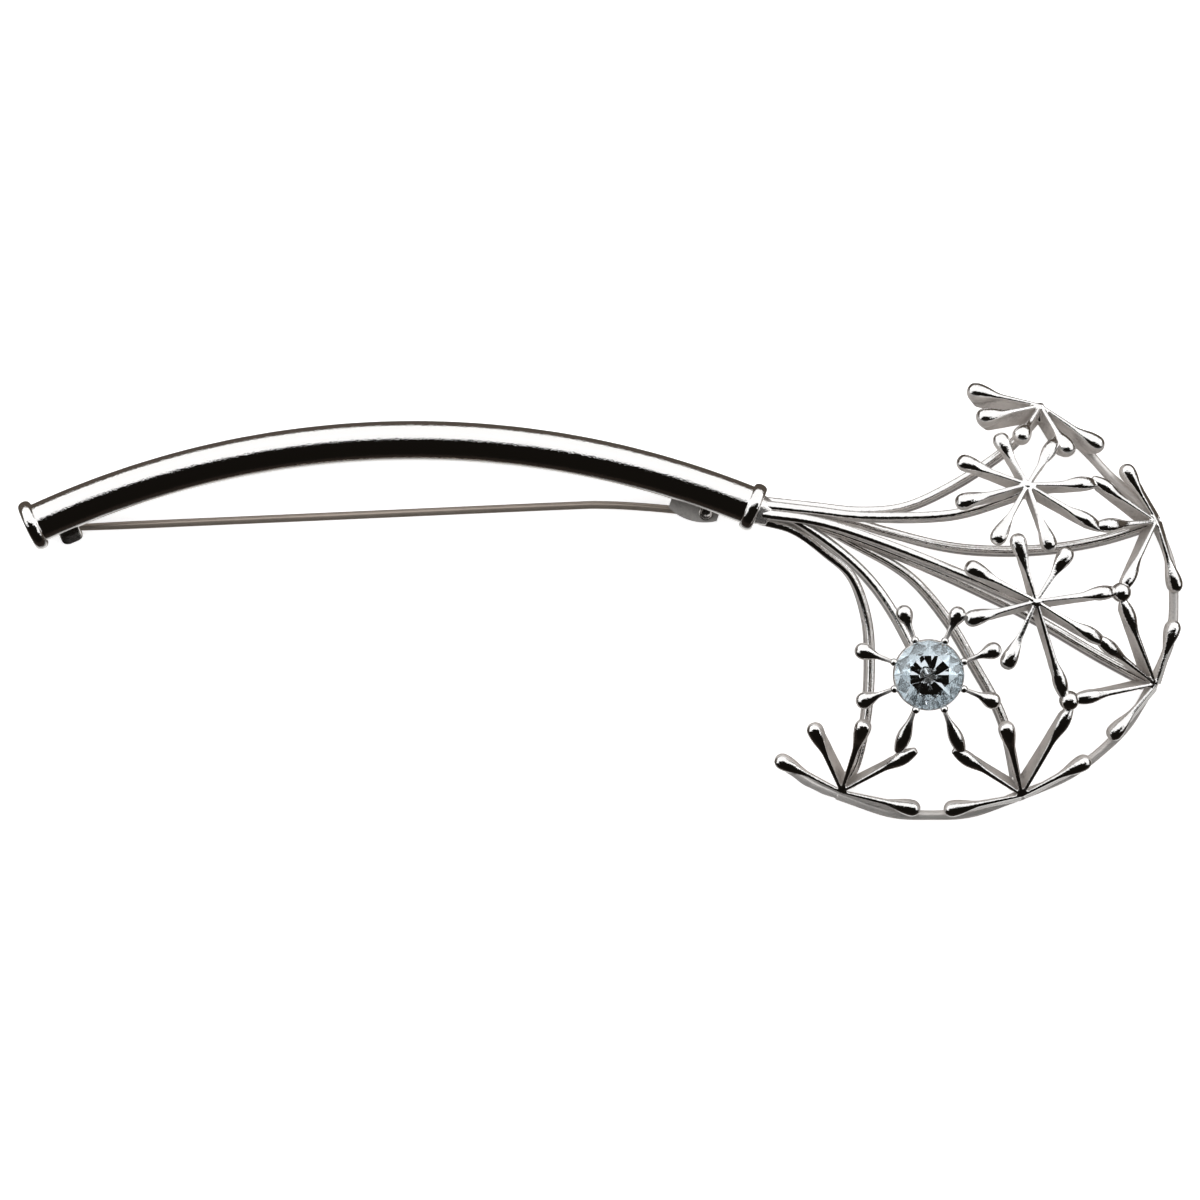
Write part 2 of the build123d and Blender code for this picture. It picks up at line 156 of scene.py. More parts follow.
@dataclass
class MeshPiece:
    """Grids gathered into one mesh, with a polish value at each point.

    Attributes:
        name: The object's name.
        points: The points of each grid.
        quads: The four corners of each face, by index.
        fans: The corners of each closing face, as lists.
        polish: The polish at each point: 1 is buffed bright, 0 is left as cast.
    """

    name: str
    points: list[Grid] = field(default_factory=list)
    quads: list[Grid] = field(default_factory=list)
    fans: list[list[int]] = field(default_factory=list)
    polish: list[Grid] = field(default_factory=list)

    def add_grid(self, grid: Grid, polish: Grid | float = 1.0, ring: bool = False) -> None:
        """Adds a surface whose second direction closes on itself.

        Args:
            grid: Its points, n rows of m points.
            polish: One value, or one for each point.
            ring: Whether the last row joins the first. If not, both are closed with a face.
        """
        rows, across = grid.shape[:2]
        base = sum(len(p) for p in self.points)
        index = base + np.arange(rows * across).reshape(rows, across)
        following = np.roll(index, -1, axis=0) if ring else index[1:]
        here = index if ring else index[:-1]
        corners = [here, np.roll(here, -1, axis=1), np.roll(following, -1, axis=1), following]
        self.quads.append(np.stack(corners, axis=-1).reshape(-1, 4))
        if not ring:
            self.fans.append(index[0][::-1].tolist())
            self.fans.append(index[-1].tolist())
        self.points.append(grid.reshape(-1, 3))
        self.polish.append(np.broadcast_to(polish, (rows, across)).reshape(-1).astype(float))

    def build(self) -> bpy.types.Object:
        """Makes the object, shaded smooth, with its polish stored.

        Returns:
            The object.
        """
        made = new_object(self.name, np.vstack(self.points), np.vstack(self.quads).tolist() + self.fans)
        set_polish(made.data, np.concatenate(self.polish))
        made.data.shade_smooth()
        return made


def shaped(name: str, grid: Grid, polish: Grid | float = 1.0, ring: bool = False) -> bpy.types.Object:
    """Makes a piece of a single grid.

    Args:
        name: The object's name.
        grid: Its points, n rows of m points.
        polish: One value, or one for each point.
        ring: Whether the last row joins the first.

    Returns:
        The object.
    """
    piece = MeshPiece(name)
    piece.add_grid(grid, polish, ring)
    return piece.build()


def set_polish(mesh: bpy.types.Mesh, values: Grid) -> None:
    """Stores the polish of each point as the mesh's attribute of that name, in place of any before it.

    Args:
        mesh: The mesh.
        values: The polish at each point.
    """
    attribute = mesh.attributes.get("polish") or mesh.attributes.new("polish", "FLOAT", "POINT")
    attribute.data.foreach_set("value", values.astype(np.float32))


def point_array(mesh: bpy.types.Mesh, normals: bool = False) -> Grid:
    """Reads a mesh's points, or the normals at them.

    Args:
        mesh: The mesh.
        normals: Whether the normals are wanted.

    Returns:
        The values, n by 3.
    """
    source = mesh.vertex_normals if normals else mesh.vertices
    values = np.empty(len(mesh.vertices) * 3, np.float32)
    source.foreach_get("vector" if normals else "co", values)
    return values.reshape(-1, 3).astype(float)


def fuse(piece: bpy.types.Object, voxel: float, rounds: int) -> bpy.types.Object:
    """Melts a piece's overlapping grids into one skin, as in a casting, and softens the inner corners.

    Args:
        piece: The object, whose mesh is replaced.
        voxel: The size of the remesh's cells, in metres.
        rounds: How many smoothing rounds follow.

    Returns:
        The same object with its new mesh.
    """
    melt = piece.modifiers.new("melt", "REMESH")
    melt.mode = "VOXEL"
    melt.voxel_size = voxel
    melt.use_smooth_shade = True
    soften = piece.modifiers.new("soften", "SMOOTH")
    soften.factor = 0.5
    soften.iterations = rounds
    bpy.context.view_layer.update()
    made = bpy.data.meshes.new_from_object(piece.evaluated_get(bpy.context.evaluated_depsgraph_get()))
    piece.modifiers.clear()
    old = piece.data
    piece.data = made
    made.name = old.name
    bpy.data.meshes.remove(old)
    made.shade_smooth()
    return piece


def turned(profile: Grid, centre: Grid, axis: Grid, count: int) -> Grid:
    """A profile turned about an axis.

    A point (r, h) becomes centre + h * axis + r * (cos a * u + sin a * v), with u and v square to the axis
    and a running round once.

    Args:
        profile: Radius and height of each point, n by 2.
        centre: Where height zero is.
        axis: The axis's direction.
        count: How many points go round.

    Returns:
        The grid, n by count by 3.
    """
    axis = unit(axis)
    across = unit(np.cross(axis, [0.0, 1.0, 0.0] if abs(axis[1]) < 0.9 else [1.0, 0.0, 0.0]))
    other = np.cross(axis, across)
    angle = np.arange(count) * TAU / count
    spokes = np.cos(angle)[:, None] * across + np.sin(angle)[:, None] * other
    return centre + profile[:, None, 1:2] * axis + profile[:, None, 0:1] * spokes[None]


def bent_bar(path: Grid, radius: Grid, count: int, front: Grid = FRONT, flat: Grid | float = 1.0) -> Grid:
    """An oval section carried along a path.

    At each point of the path the section is radius * (cos a * side + flat * sin a * up), where side is square
    to the path and to the front direction, and up completes the three.

    Args:
        path: The path's points, n by 3.
        radius: The half width at each of them.
        count: How many points go round.
        front: The direction that up leans to.
        flat: Half height over half width.

    Returns:
        The grid, n by count by 3.
    """
    along = unit(np.gradient(path, axis=0))
    side = unit(np.cross(np.broadcast_to(front, along.shape), along))
    up = np.cross(along, side)
    angle = np.arange(count) * TAU / count
    wide = np.cos(angle)[None, :, None] * side[:, None]
    high = np.sin(angle)[None, :, None] * up[:, None] * np.reshape(flat, (-1, 1, 1))
    return path[:, None] + np.reshape(radius, (-1, 1, 1)) * (wide + high)


def rib(path: Grid, down: Grid, size: "RibSize") -> Grid:
    """A ridge over a web, carried along a path.

    Across a station, y runs down from the path. Above it the half width is wide * (1 - |y / rise|^p)^(1/p), a
    flat-topped oval, and below it wide * sqrt(1 - (y / belly)^2). The web adds its own half thickness by a
    fourth-power mean, and is rounded off at its foot.

    Args:
        path: The middle of the ridge, n by 3.
        down: The direction that the web hangs in at each point, n by 3.
        size: The section's sizes at each point.

    Returns:
        The grid, n by m by 3.
    """
    along = unit(np.gradient(path, axis=0))
    side = unit(np.cross(along, down))
    hang = np.cross(side, along)
    wide, rise, power, belly, web, depth = (np.reshape(v, (-1, 1)) for v in size.columns(len(path)))
    bottom = np.maximum(depth, 1.02 * belly)
    foot = np.maximum(bottom - web, 0.81 * belly)
    over = -np.cos(np.linspace(0.0, 0.5 * math.pi, 10)[1:])[None] * rise
    waist = np.sin(np.linspace(0.0, 0.3 * math.pi, 5)[1:])[None] * belly
    middle = waist[:, -1:] + (foot - waist[:, -1:]) * np.linspace(0.0, 1.0, 8)[None, 1:]
    turn = np.linspace(0.0, 0.5 * math.pi, 5)[None, 1:-1]
    under = foot + (bottom - foot) * np.sin(turn)
    below = np.hstack([waist, middle, under])
    upper = wide * (1.0 - np.abs(over / rise) ** power) ** (1.0 / power)
    lower = wide * np.sqrt(np.maximum(1.0 - (below / belly) ** 2, 0.0))
    thick = web * np.hstack([np.ones_like(waist), np.ones_like(middle), np.cos(turn) * np.ones_like(foot)])
    thick_top = web * np.clip(1.0 + over / rise, 0.0, 1.0)
    half = np.hstack([(upper**4 + thick_top**4) ** 0.25, (lower**4 + thick**4) ** 0.25])
    drop = np.hstack([over, below])
    nothing = np.zeros_like(wide)
    sides = np.hstack([nothing, half, nothing, -half[:, ::-1]])
    downs = np.hstack([-rise, drop, bottom, drop[:, ::-1]])
    return path[:, None] + sides[..., None] * side[:, None] + downs[..., None] * hang[:, None]


@dataclass(frozen=True)
class RibSize:
    """The sizes of a rib's section, each one value or one at each station.

    Attributes:
        wide: The ridge's half width.
        rise: How far its top stands over the path.
        power: The power of its top: 2 is round, 3 is flat.
        belly: How far its round underside reaches.
        web: Half the web's thickness.
        depth: How far the web's foot is below the path.
    """

    wide: Grid
    rise: Grid
    power: Grid | float
    belly: Grid
    web: Grid
    depth: Grid

    def columns(self, count: int) -> list[Grid]:
        """The six sizes, each as an array of a count of values."""
        sizes = (self.wide, self.rise, self.power, self.belly, self.web, self.depth)
        return [np.broadcast_to(size, (count,)) for size in sizes]


def beaded(run: Grid, post: float, bead: float) -> Grid:
    """The radius of a post that ends in a bead: the larger of the two, with the bead's circle at the tip.

    Args:
        run: The distance of each station from the start.
        post: The post's radius.
        bead: The bead's radius.

    Returns:
        The radius at each station.
    """
    left = run[-1] - run
    circle = np.sqrt(np.maximum(bead**2 - (left - bead) ** 2, (0.01 * bead) ** 2))
    return np.where(left < 2 * bead, np.maximum(circle, np.where(left > bead, post, 0.0)), post)


# ---------------------------------------------------------------- finishes


class NodeTools:
    """Short ways to add and join nodes in one tree."""

    def __init__(self, tree: bpy.types.NodeTree) -> None:
        """Keeps the tree that nodes are added to."""
        self.tree = tree

    def add(self, kind: str, **settings: object) -> bpy.types.Node:
        """Adds a node.

        Args:
            kind: The node's type.
            settings: Properties to set on it, by name.

        Returns:
            The node.
        """
        node = self.tree.nodes.new(kind)
        for name, value in settings.items():
            setattr(node, name, value)
        return node

    def join(self, source: bpy.types.NodeSocket, target: bpy.types.NodeSocket) -> None:
        """Links an output to an input."""
        self.tree.links.new(source, target)

    def noise(self, coordinates: bpy.types.NodeSocket, cell: float, detail: float) -> bpy.types.NodeSocket:
        """Adds a noise.

        Args:
            coordinates: Where it is read.
            cell: How wide its features are, in metres.
            detail: How many finer layers it has.

        Returns:
            Its value, between zero and one.
        """
        node = self.add("ShaderNodeTexNoise")
        node.inputs["Scale"].default_value = 1.0 / cell
        node.inputs["Detail"].default_value = detail
        self.join(coordinates, node.inputs["Vector"])
        return node.outputs["Fac"]

    def spread(self, value: bpy.types.NodeSocket, limits: tuple[float, float],
               results: tuple[float, float]) -> bpy.types.NodeSocket:
        """Maps a value smoothly from one range to another, held at its ends.

        Args:
            value: The value.
            limits: The range that it comes from.
            results: The range that it goes to.

        Returns:
            The mapped value.
        """
        node = self.add("ShaderNodeMapRange", interpolation_type="SMOOTHSTEP")
        for name, number in zip(("From Min", "From Max", "To Min", "To Max"), (*limits, *results)):
            node.inputs[name].default_value = number
        self.join(value, node.inputs["Value"])
        return node.outputs["Result"]

    def blend(self, share: bpy.types.NodeSocket, first: object, second: object) -> bpy.types.NodeSocket:
        """Mixes two colours, each a socket or a fixed colour.

        Args:
            share: How much of the second there is.
            first: The first colour.
            second: The second colour.

        Returns:
            The mixed colour.
        """
        node = self.add("ShaderNodeMix", data_type="RGBA")
        self.join(share, node.inputs[0])
        for colour, target in ((first, node.inputs[6]), (second, node.inputs[7])):
            if isinstance(colour, bpy.types.NodeSocket):
                self.join(colour, target)
            else:
                target.default_value = (*colour, 1.0)
        return node.outputs[2]


def new_group(name: str, inputs: dict[str, float], outputs: dict[str, str]) -> tuple:
    """Makes an empty shader node group.

    Args:
        name: The group's name.
        inputs: Each number input with its default value.
        outputs: Each output with its socket type.

    Returns:
        The group, its tools, its input node and its output node.
    """
    group = bpy.data.node_groups.new(name, "ShaderNodeTree")
    for label, value in inputs.items():
        socket = group.interface.new_socket(label, in_out="INPUT", socket_type="NodeSocketFloat")
        socket.default_value = value
    for label, kind in outputs.items():
        group.interface.new_socket(label, in_out="OUTPUT", socket_type=kind)
    tools = NodeTools(group)
    return group, tools, tools.add("NodeGroupInput"), tools.add("NodeGroupOutput")


WAVE_CELL = 1.6 * MM
PEEL_CELL = 0.17 * MM
CLOUD_CELL = 2.4 * MM
SPECK_CELL = 0.22 * MM
STAIN_SHADE = 0.55


def ripple_group() -> bpy.types.NodeTree:
    """Hand-finished surface: a height made of a slow waviness and a finer peel, each with its own weight.

    Returns:
        The group.
    """
    group, tools, given, made = new_group(
        "hand_ripple", {"Slow": 1.0, "Fine": 1.0}, {"Height": "NodeSocketFloat"})
    place = tools.add("ShaderNodeTexCoord").outputs["Object"]
    slow = tools.noise(place, WAVE_CELL, 1.0)
    fine = tools.noise(place, PEEL_CELL, 2.0)
    heavy = tools.add("ShaderNodeMath", operation="MULTIPLY")
    light = tools.add("ShaderNodeMath", operation="MULTIPLY_ADD")
    tools.join(slow, heavy.inputs[0])
    tools.join(given.outputs["Slow"], heavy.inputs[1])
    tools.join(fine, light.inputs[0])
    tools.join(given.outputs["Fine"], light.inputs[1])
    tools.join(heavy.outputs[0], light.inputs[2])
    tools.join(light.outputs[0], made.inputs["Height"])
    return group


def stain_group() -> bpy.types.NodeTree:
    """Uneven tone: a mask of cloudy patches broken up by fine specks.

    Returns:
        The group.
    """
    group, tools, given, made = new_group(
        "uneven_tone", {"Strength": 1.0}, {"Mask": "NodeSocketFloat"})
    place = tools.add("ShaderNodeTexCoord").outputs["Object"]
    cloud = tools.spread(tools.noise(place, CLOUD_CELL, 3.0), (0.42, 0.68), (0.0, 1.0))
    speck = tools.spread(tools.noise(place, SPECK_CELL, 2.0), (0.35, 0.75), (0.3, 1.0))
    both = tools.add("ShaderNodeMath", operation="MULTIPLY")
    scaled = tools.add("ShaderNodeMath", operation="MULTIPLY", use_clamp=True)
    tools.join(cloud, both.inputs[0])
    tools.join(speck, both.inputs[1])
    tools.join(both.outputs[0], scaled.inputs[0])
    tools.join(given.outputs["Strength"], scaled.inputs[1])
    tools.join(scaled.outputs[0], made.inputs["Mask"])
    return group


@dataclass(frozen=True)
class MetalFinish:
    """One metal finish: bright where it is buffed, duller and darker where it isn't.

    Attributes:
        slot: The record's slot that it fills.
        bright: Colour where polished.
        dull: Colour where left as cast.
        bright_rough: Roughness where polished.
        dull_rough: Roughness where left as cast.
        slow: Weight of the slow waviness.
        fine: Weight of the fine peel.
        height: Height of the ripple, in metres.
        stain: Strength of the uneven tone.
        body: How metallic the dull parts are: a white, frosted skin is less so.
    """

    slot: Slot
    bright: tuple[float, float, float]
    dull: tuple[float, float, float]
    bright_rough: float
    dull_rough: float
    slow: float
    fine: float
    height: float
    stain: float
    body: float = 1.0

    def material(self, groups: dict[str, bpy.types.NodeTree]) -> bpy.types.Material:
        """Builds the material from the shared groups.

        Args:
            groups: The shared node groups, by name.

        Returns:
            The material, named after the slot.
        """
        made = bpy.data.materials.new(self.slot.value)
        made.use_nodes = True
        tools = NodeTools(made.node_tree)
        shader = made.node_tree.nodes["Principled BSDF"]
        polish = tools.add("ShaderNodeAttribute", attribute_name="polish").outputs["Fac"]
        stain = tools.add("ShaderNodeGroup", node_tree=groups["uneven_tone"])
        stain.inputs["Strength"].default_value = self.stain
        dark = tuple(STAIN_SHADE * part for part in self.dull)
        worn = tools.blend(stain.outputs["Mask"], self.dull, dark)
        tools.join(tools.blend(polish, worn, self.bright), shader.inputs["Base Color"])
        rough = tools.spread(polish, (0.0, 1.0), (self.dull_rough, self.bright_rough))
        tools.join(rough, shader.inputs["Roughness"])
        tools.join(tools.spread(polish, (0.0, 1.0), (self.body, 1.0)), shader.inputs["Metallic"])
        ripple = tools.add("ShaderNodeGroup", node_tree=groups["hand_ripple"])
        ripple.inputs["Slow"].default_value = self.slow
        ripple.inputs["Fine"].default_value = self.fine
        bump = tools.add("ShaderNodeBump")
        bump.inputs["Distance"].default_value = self.height
        tools.join(ripple.outputs["Height"], bump.inputs["Height"])
        tools.join(bump.outputs["Normal"], shader.inputs["Normal"])
        return made


@dataclass(frozen=True)
class StoneFinish:
    """The cut stone: clear glass with a pale blue body."""

    slot: Slot = Slot.STONE
    tint: tuple[float, float, float] = (0.84, 0.92, 0.97)
    index: float = 1.71

    def material(self, groups: dict[str, bpy.types.NodeTree]) -> bpy.types.Material:
        """Builds the glass.

        Args:
            groups: The shared node groups, which it doesn't need.

        Returns:
            The material, named after the slot.
        """
        made = bpy.data.materials.new(self.slot.value)
        made.use_nodes = True
        shader = made.node_tree.nodes["Principled BSDF"]
        shader.inputs["Base Color"].default_value = (*self.tint, 1.0)
        shader.inputs["Metallic"].default_value = 0.0
        shader.inputs["Roughness"].default_value = 0.0
        shader.inputs["IOR"].default_value = self.index
        shader.inputs["Transmission Weight"].default_value = 1.0
        return made


FINISHES = (
    MetalFinish(Slot.POLISHED, (0.95, 0.94, 0.93), (0.80, 0.77, 0.75), 0.05, 0.30, 0.30, 1.0, 0.020 * MM, 0.3, 0.5),
    MetalFinish(Slot.CAST, (0.95, 0.94, 0.93), (0.60, 0.56, 0.53), 0.085, 0.42, 0.6, 0.9, 0.022 * MM, 1.0, 0.35),
    MetalFinish(Slot.SATIN, (0.72, 0.69, 0.66), (0.46, 0.44, 0.42), 0.20, 0.42, 0.3, 0.8, 0.010 * MM, 0.9, 0.5),
    MetalFinish(Slot.WIRE, (0.60, 0.52, 0.45), (0.30, 0.25, 0.21), 0.22, 0.38, 0.2, 0.8, 0.008 * MM, 0.7, 0.4),
    StoneFinish(),
)


class Bench:
    """Where finished pieces are dressed, tied to their bodies and reported."""

    def __init__(self) -> None:
        """Builds the shared groups and every finish once."""
        groups = {"hand_ripple": ripple_group(), "uneven_tone": stain_group()}
        self.materials = {finish.slot: finish.material(groups) for finish in FINISHES}

    def deliver(self, piece: bpy.types.Object, slot: Slot, body: str, *nodes: str) -> None:
        """Gives a piece its finish and its body, hides the CAD nodes that it replaces, and keeps it in the CAD box.

        Args:
            piece: The finished object.
            slot: The finish that it takes.
            body: The CAD body that it moves with.
            nodes: The CAD nodes that it replaces.
        """
        low, high = (np.array(corner) for corner in CAD_BOX)
        inside = np.clip(point_array(piece.data), low + HAIR, high - HAIR)
        piece.data.vertices.foreach_set("co", inside.astype(np.float32).reshape(-1))
        piece.data.materials.clear()
        piece.data.materials.append(self.materials[slot])
        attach(piece, body)
        if nodes:
            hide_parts(*nodes)
        log.info("%s: %d faces, %s", piece.name, len(piece.data.polygons), slot.value)

    def dress(self, node: str, slot: Slot) -> None:
        """Gives a CAD node that keeps its shape its material.

        Args:
            node: The CAD node.
            slot: The finish that it takes.
        """
        cad = frame["nodes"][node]
        cad.data.materials.clear()
        cad.data.materials.append(self.materials[slot])
        log.info("%s: CAD shape kept, %s", node, slot.value)


# ---------------------------------------------------------------- the stem


@dataclass
class Stem:
    """The bent tube with a bead round each end, its cap and the neck plug. Sizes are in metres."""

    centre: tuple[float, float] = (-17.44 * MM, -69.20 * MM)
    bend: float = 84.15 * MM
    height: float = 3.10 * MM
    radius: float = 1.85 * MM
    tail: float = 115.1
    neck: float = 67.8
    bead_width: float = 1.25 * MM
    tail_bead: float = 2.43 * MM
    neck_bead: float = 2.30 * MM

    def at(self, degrees: Grid) -> Grid:
        """Points of the centreline: the bend's centre plus its radius at an angle.

        Args:
            degrees: The angles.

        Returns:
            A point for each angle.
        """
        turn = np.radians(degrees)
        flat = [self.centre[0] + self.bend * np.cos(turn), self.centre[1] + self.bend * np.sin(turn)]
        return np.stack([*flat, np.full_like(turn, self.height)], axis=-1)

    def along(self, degrees: float) -> Grid:
        """The stem's direction at an angle, towards the neck."""
        turn = math.radians(degrees)
        return np.array([math.sin(turn), -math.cos(turn), 0.0])

    def tube(self) -> bpy.types.Object:
        """The tube: a circle along the arc, its radius rippled by a few thousandths of itself.

        The ripple is the product of slow sines along and round the tube, as hand work leaves it.

        Returns:
            The object.
        """
        path = self.at(np.linspace(self.tail, self.neck, 420))
        grid = bent_bar(path, np.full(len(path), self.radius), 96)
        s = np.linspace(0.0, 1.0, grid.shape[0])[:, None]
        a = np.arange(grid.shape[1])[None] * TAU / grid.shape[1]
        ripple = (np.sin(61 * s + 2 * a) * np.sin(37 * s - a) + 0.6 * np.sin(133 * s + 3 * a)) * 0.0018
        grid = path[:, None] + (grid - path[:, None]) * (1.0 - 0.003 + ripple[..., None])
        return shaped("silver_tube", grid)

    def bead(self, name: str, degrees: float, radius: float) -> bpy.types.Object:
        """A bead: a band whose outer side is near a half ellipse, turned about the stem.

        Args:
            name: The object's name.
            degrees: Its angle on the bend.
            radius: Its outer radius.

        Returns:
            The object.
        """
        half = self.bead_width / 2
        turn = np.linspace(-0.5 * math.pi, 0.5 * math.pi, 25)
        inner = self.radius - 0.05 * MM
        crown = np.stack([inner + (radius - inner) * np.cos(turn) ** 0.75, half * np.sin(turn)], axis=1)
        back = np.stack([np.full(4, inner * 0.97), np.linspace(0.8, -0.8, 4) * half], axis=1)
        grid = turned(np.vstack([crown, back]), self.at(np.float64(degrees)), self.along(degrees), 96)
        return shaped(name, grid, ring=True)

    def cap(self) -> bpy.types.Object:
        """The tail's cap: a shallow dish with a rounded lip, closed at its middle.

        Returns:
            The object.
        """
        bore = self.radius - 0.1 * MM
        out = np.linspace(0.0, 1.0, 24)[1:]
        dish = np.stack([bore * out, 0.22 * MM * out**4], axis=1)
        inside = -0.8 * MM
        profile = np.vstack([[POLE, 0.0], dish, [bore, inside], [POLE, inside]])
        return shaped("tail_cap_disc", turned(profile, self.at(np.float64(self.tail)), -self.along(self.tail), 72))

    def plug(self) -> bpy.types.Object:
        """The neck plug: a short cone that the stalks spring from.

        Returns:
            The object.
        """
        out = np.linspace(0.0, 1.0, 14)
        cone = np.stack([(1.60 - 0.42 * out**0.8) * MM, (0.2 + 1.5 * out) * MM], axis=1)
        inside, outside = -1.0 * MM, 1.95 * MM
        profile = np.vstack([[POLE, inside], [1.45 * MM, inside], cone, [POLE, outside]])
        return shaped("neck_cone", turned(profile, self.at(np.float64(self.neck)), self.along(self.neck), 72), 0.7)

    def make(self, bench: Bench) -> None:
        """Builds and delivers the stem's pieces."""
        bench.deliver(self.tube(), Slot.POLISHED, "brooch", "stem_tube")
        bench.deliver(self.bead("tail_bead_ring", self.tail, self.tail_bead), Slot.POLISHED, "brooch", "tail_bead")
        bench.deliver(self.bead("neck_bead_ring", self.neck, self.neck_bead), Slot.POLISHED, "brooch", "neck_bead")
        bench.deliver(self.cap(), Slot.POLISHED, "brooch", "tail_cap")
        bench.deliver(self.plug(), Slot.CAST, "brooch", "neck_plug")


# ---------------------------------------------------------------- the fastening


@dataclass
class Pin:
    """The pin wire, its eye, the rivet, the catch, and the CAD bracket, which keeps its shape. In millimetres."""

    stem: Stem
    shank_tip: tuple[float, float] = (-44.50, 7.03)
    bends: tuple[tuple[float, float], ...] = ((-22.0, 8.02), (-4.0, 8.82), (0.6, 8.93), (5.2, 8.66))
    radius: float = 0.375
    shoulder: float = 0.33
    point: float = 6.1
    eye: float = 0.80
    rivet: float = 0.45
    catch_x: float = -50.60
    catch_width: float = 2.00
    catch_reach: float = 2.95
    catch_back: float = 0.86
    catch_top: float = 1.70
    catch_sheet: float = 0.34
    wire_polish: float = 0.45

    def hinge(self) -> Grid:
        """The point that the pin turns about."""
        return np.array(frame["joints"][0]["pos_m"])

    def wire(self) -> bpy.types.Object:
        """The wire: straight, bent a little near its eye, and tapered to a point at its far end.

        Returns:
            The object.
        """
        hinge = self.hinge()
        tip = np.array([*self.shank_tip, 0.0]) * MM + [0.0, 0.0, hinge[2]]
        bends = np.array([[x * MM, y * MM, hinge[2]] for x, y in self.bends])
        heading = unit(tip - bends[0])
        start = tip + heading * self.point * MM
        inside = hinge + unit(bends[-1] - hinge) * (self.eye - 0.2) * MM
        path = np.vstack([start + (tip - start) * np.linspace(0.0, 1.0, 40)[:, None],
                          curve_through(np.vstack([tip, bends, inside]), 240)[1:]])
        run = lengths_along(path) / MM
        taper = np.interp(run, [0.0, 0.15, 2.0, self.point], [0.03, 0.11, self.shoulder, self.radius])
        return shaped("pin_stem_wire", bent_bar(path, taper * MM, 32), self.wire_polish)

    def eye_ring(self) -> bpy.types.Object:
        """The eye: a flat ring whose four edges are quarter circles, turned about the rivet.

        Returns:
            The object.
        """
        low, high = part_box("pin_eye")
        half = (high.z - low.z) / 2
        turn = np.linspace(-0.5 * math.pi, 0.5 * math.pi, 12)
        inner, outer, edge = (self.rivet + 0.05) * MM, self.eye * MM, 0.12 * MM
        side = np.sign(turn) * (half - edge) + edge * np.sin(turn)
        rim = np.stack([outer - edge + edge * np.cos(turn), side], axis=1)
        bore = np.stack([inner + edge - edge * np.cos(turn), -side], axis=1)
        return shaped("pin_eye_ring", turned(np.vstack([rim, bore]), self.hinge(), FRONT, 64), ring=True)

    def rivet_pin(self) -> bpy.types.Object:
        """The rivet: a shank and a head whose rim is a half round ring about a shallow dish.

        Returns:
            The object.
        """
        low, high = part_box("hinge_rivet")
        head, top = (high.x - low.x) / 2, high.z
        turn = np.linspace(0.0, math.pi, 14)
        rim, floor, under = 0.11 * MM, top - 0.17 * MM, top - 0.24 * MM
        ring = np.stack([head - rim + rim * np.cos(turn), top - rim + rim * np.sin(turn)], axis=1)
        dish = np.array([[head - 0.30 * MM, top - 0.15 * MM], [0.12 * MM, floor], [POLE, floor]])
        shank = self.rivet * MM
        foot = np.array([[POLE, low.z], [shank, low.z], [shank, under], [head, under]])
        centre = self.hinge() * [1.0, 1.0, 0.0]
        return shaped("rivet_turned", turned(np.vstack([foot, ring, dish]), centre, FRONT, 64))

    def catch(self) -> bpy.types.Object:
        """The catch: a strip folded into a U round the pin's point, its free ends rounded.

        The U's middle line runs out along the low lip, round two bends and back along the high lip. Across it
        the section is an oval of the sixth power, wide along the stem and as thick as the sheet.

        Returns:
            The object.
        """
        turn = math.acos((self.catch_x * MM - self.stem.centre[0]) / self.stem.bend)
        along = np.array([math.sin(turn), -math.cos(turn), 0.0])
        inward = np.array([-math.cos(turn), -math.sin(turn), 0.0])
        base = self.stem.at(np.float64(math.degrees(turn))) * [1.0, 1.0, 0.0]
        low, high = self.catch_sheet / 2, self.catch_top - self.catch_sheet / 2
        back, reach, bend = self.catch_back, self.catch_reach - 0.02, 0.30
        line = np.array([[reach, low], [reach - 0.7, low], [back + bend, low], [back, low + bend],
                         [back, high - bend], [back + bend, high], [reach - 0.7, high], [reach, high]]) * MM
        path = curve_through(base + line[:, :1] * inward + line[:, 1:] * FRONT, 90)
        run = lengths_along(path) / MM
        left = np.minimum(run, run[-1] - run)
        corner = np.sqrt(np.maximum(1.0 - np.clip(1.0 - left / 0.55, 0.0, 1.0) ** 2, 0.0))
        half = self.catch_width / 2 * (0.45 + 0.55 * corner) * MM
        angle = np.arange(40) * TAU / 40
        c, d = np.cos(angle), np.sin(angle)
        size = (c**6 + d**6) ** (-1 / 6)
        out = unit(np.cross(np.gradient(path, axis=0), along))
        grid = (path[:, None] + (half[:, None] * (c * size))[..., None] * along
                + (self.catch_sheet / 2 * MM * d * size)[None, :, None] * out[:, None])
        return shaped("catch_strip", grid)

    def make(self, bench: Bench) -> None:
        """Builds the pieces and dresses the bracket."""
        bench.deliver(self.wire(), Slot.WIRE, "pin", "pin_wire")
        bench.deliver(self.eye_ring(), Slot.WIRE, "pin", "pin_eye")
        bench.deliver(self.rivet_pin(), Slot.SATIN, "brooch", "hinge_rivet")
        bench.deliver(self.catch(), Slot.SATIN, "brooch", "catch")
        bench.dress("hinge_bracket", Slot.SATIN)


# ---------------------------------------------------------------- the flower head


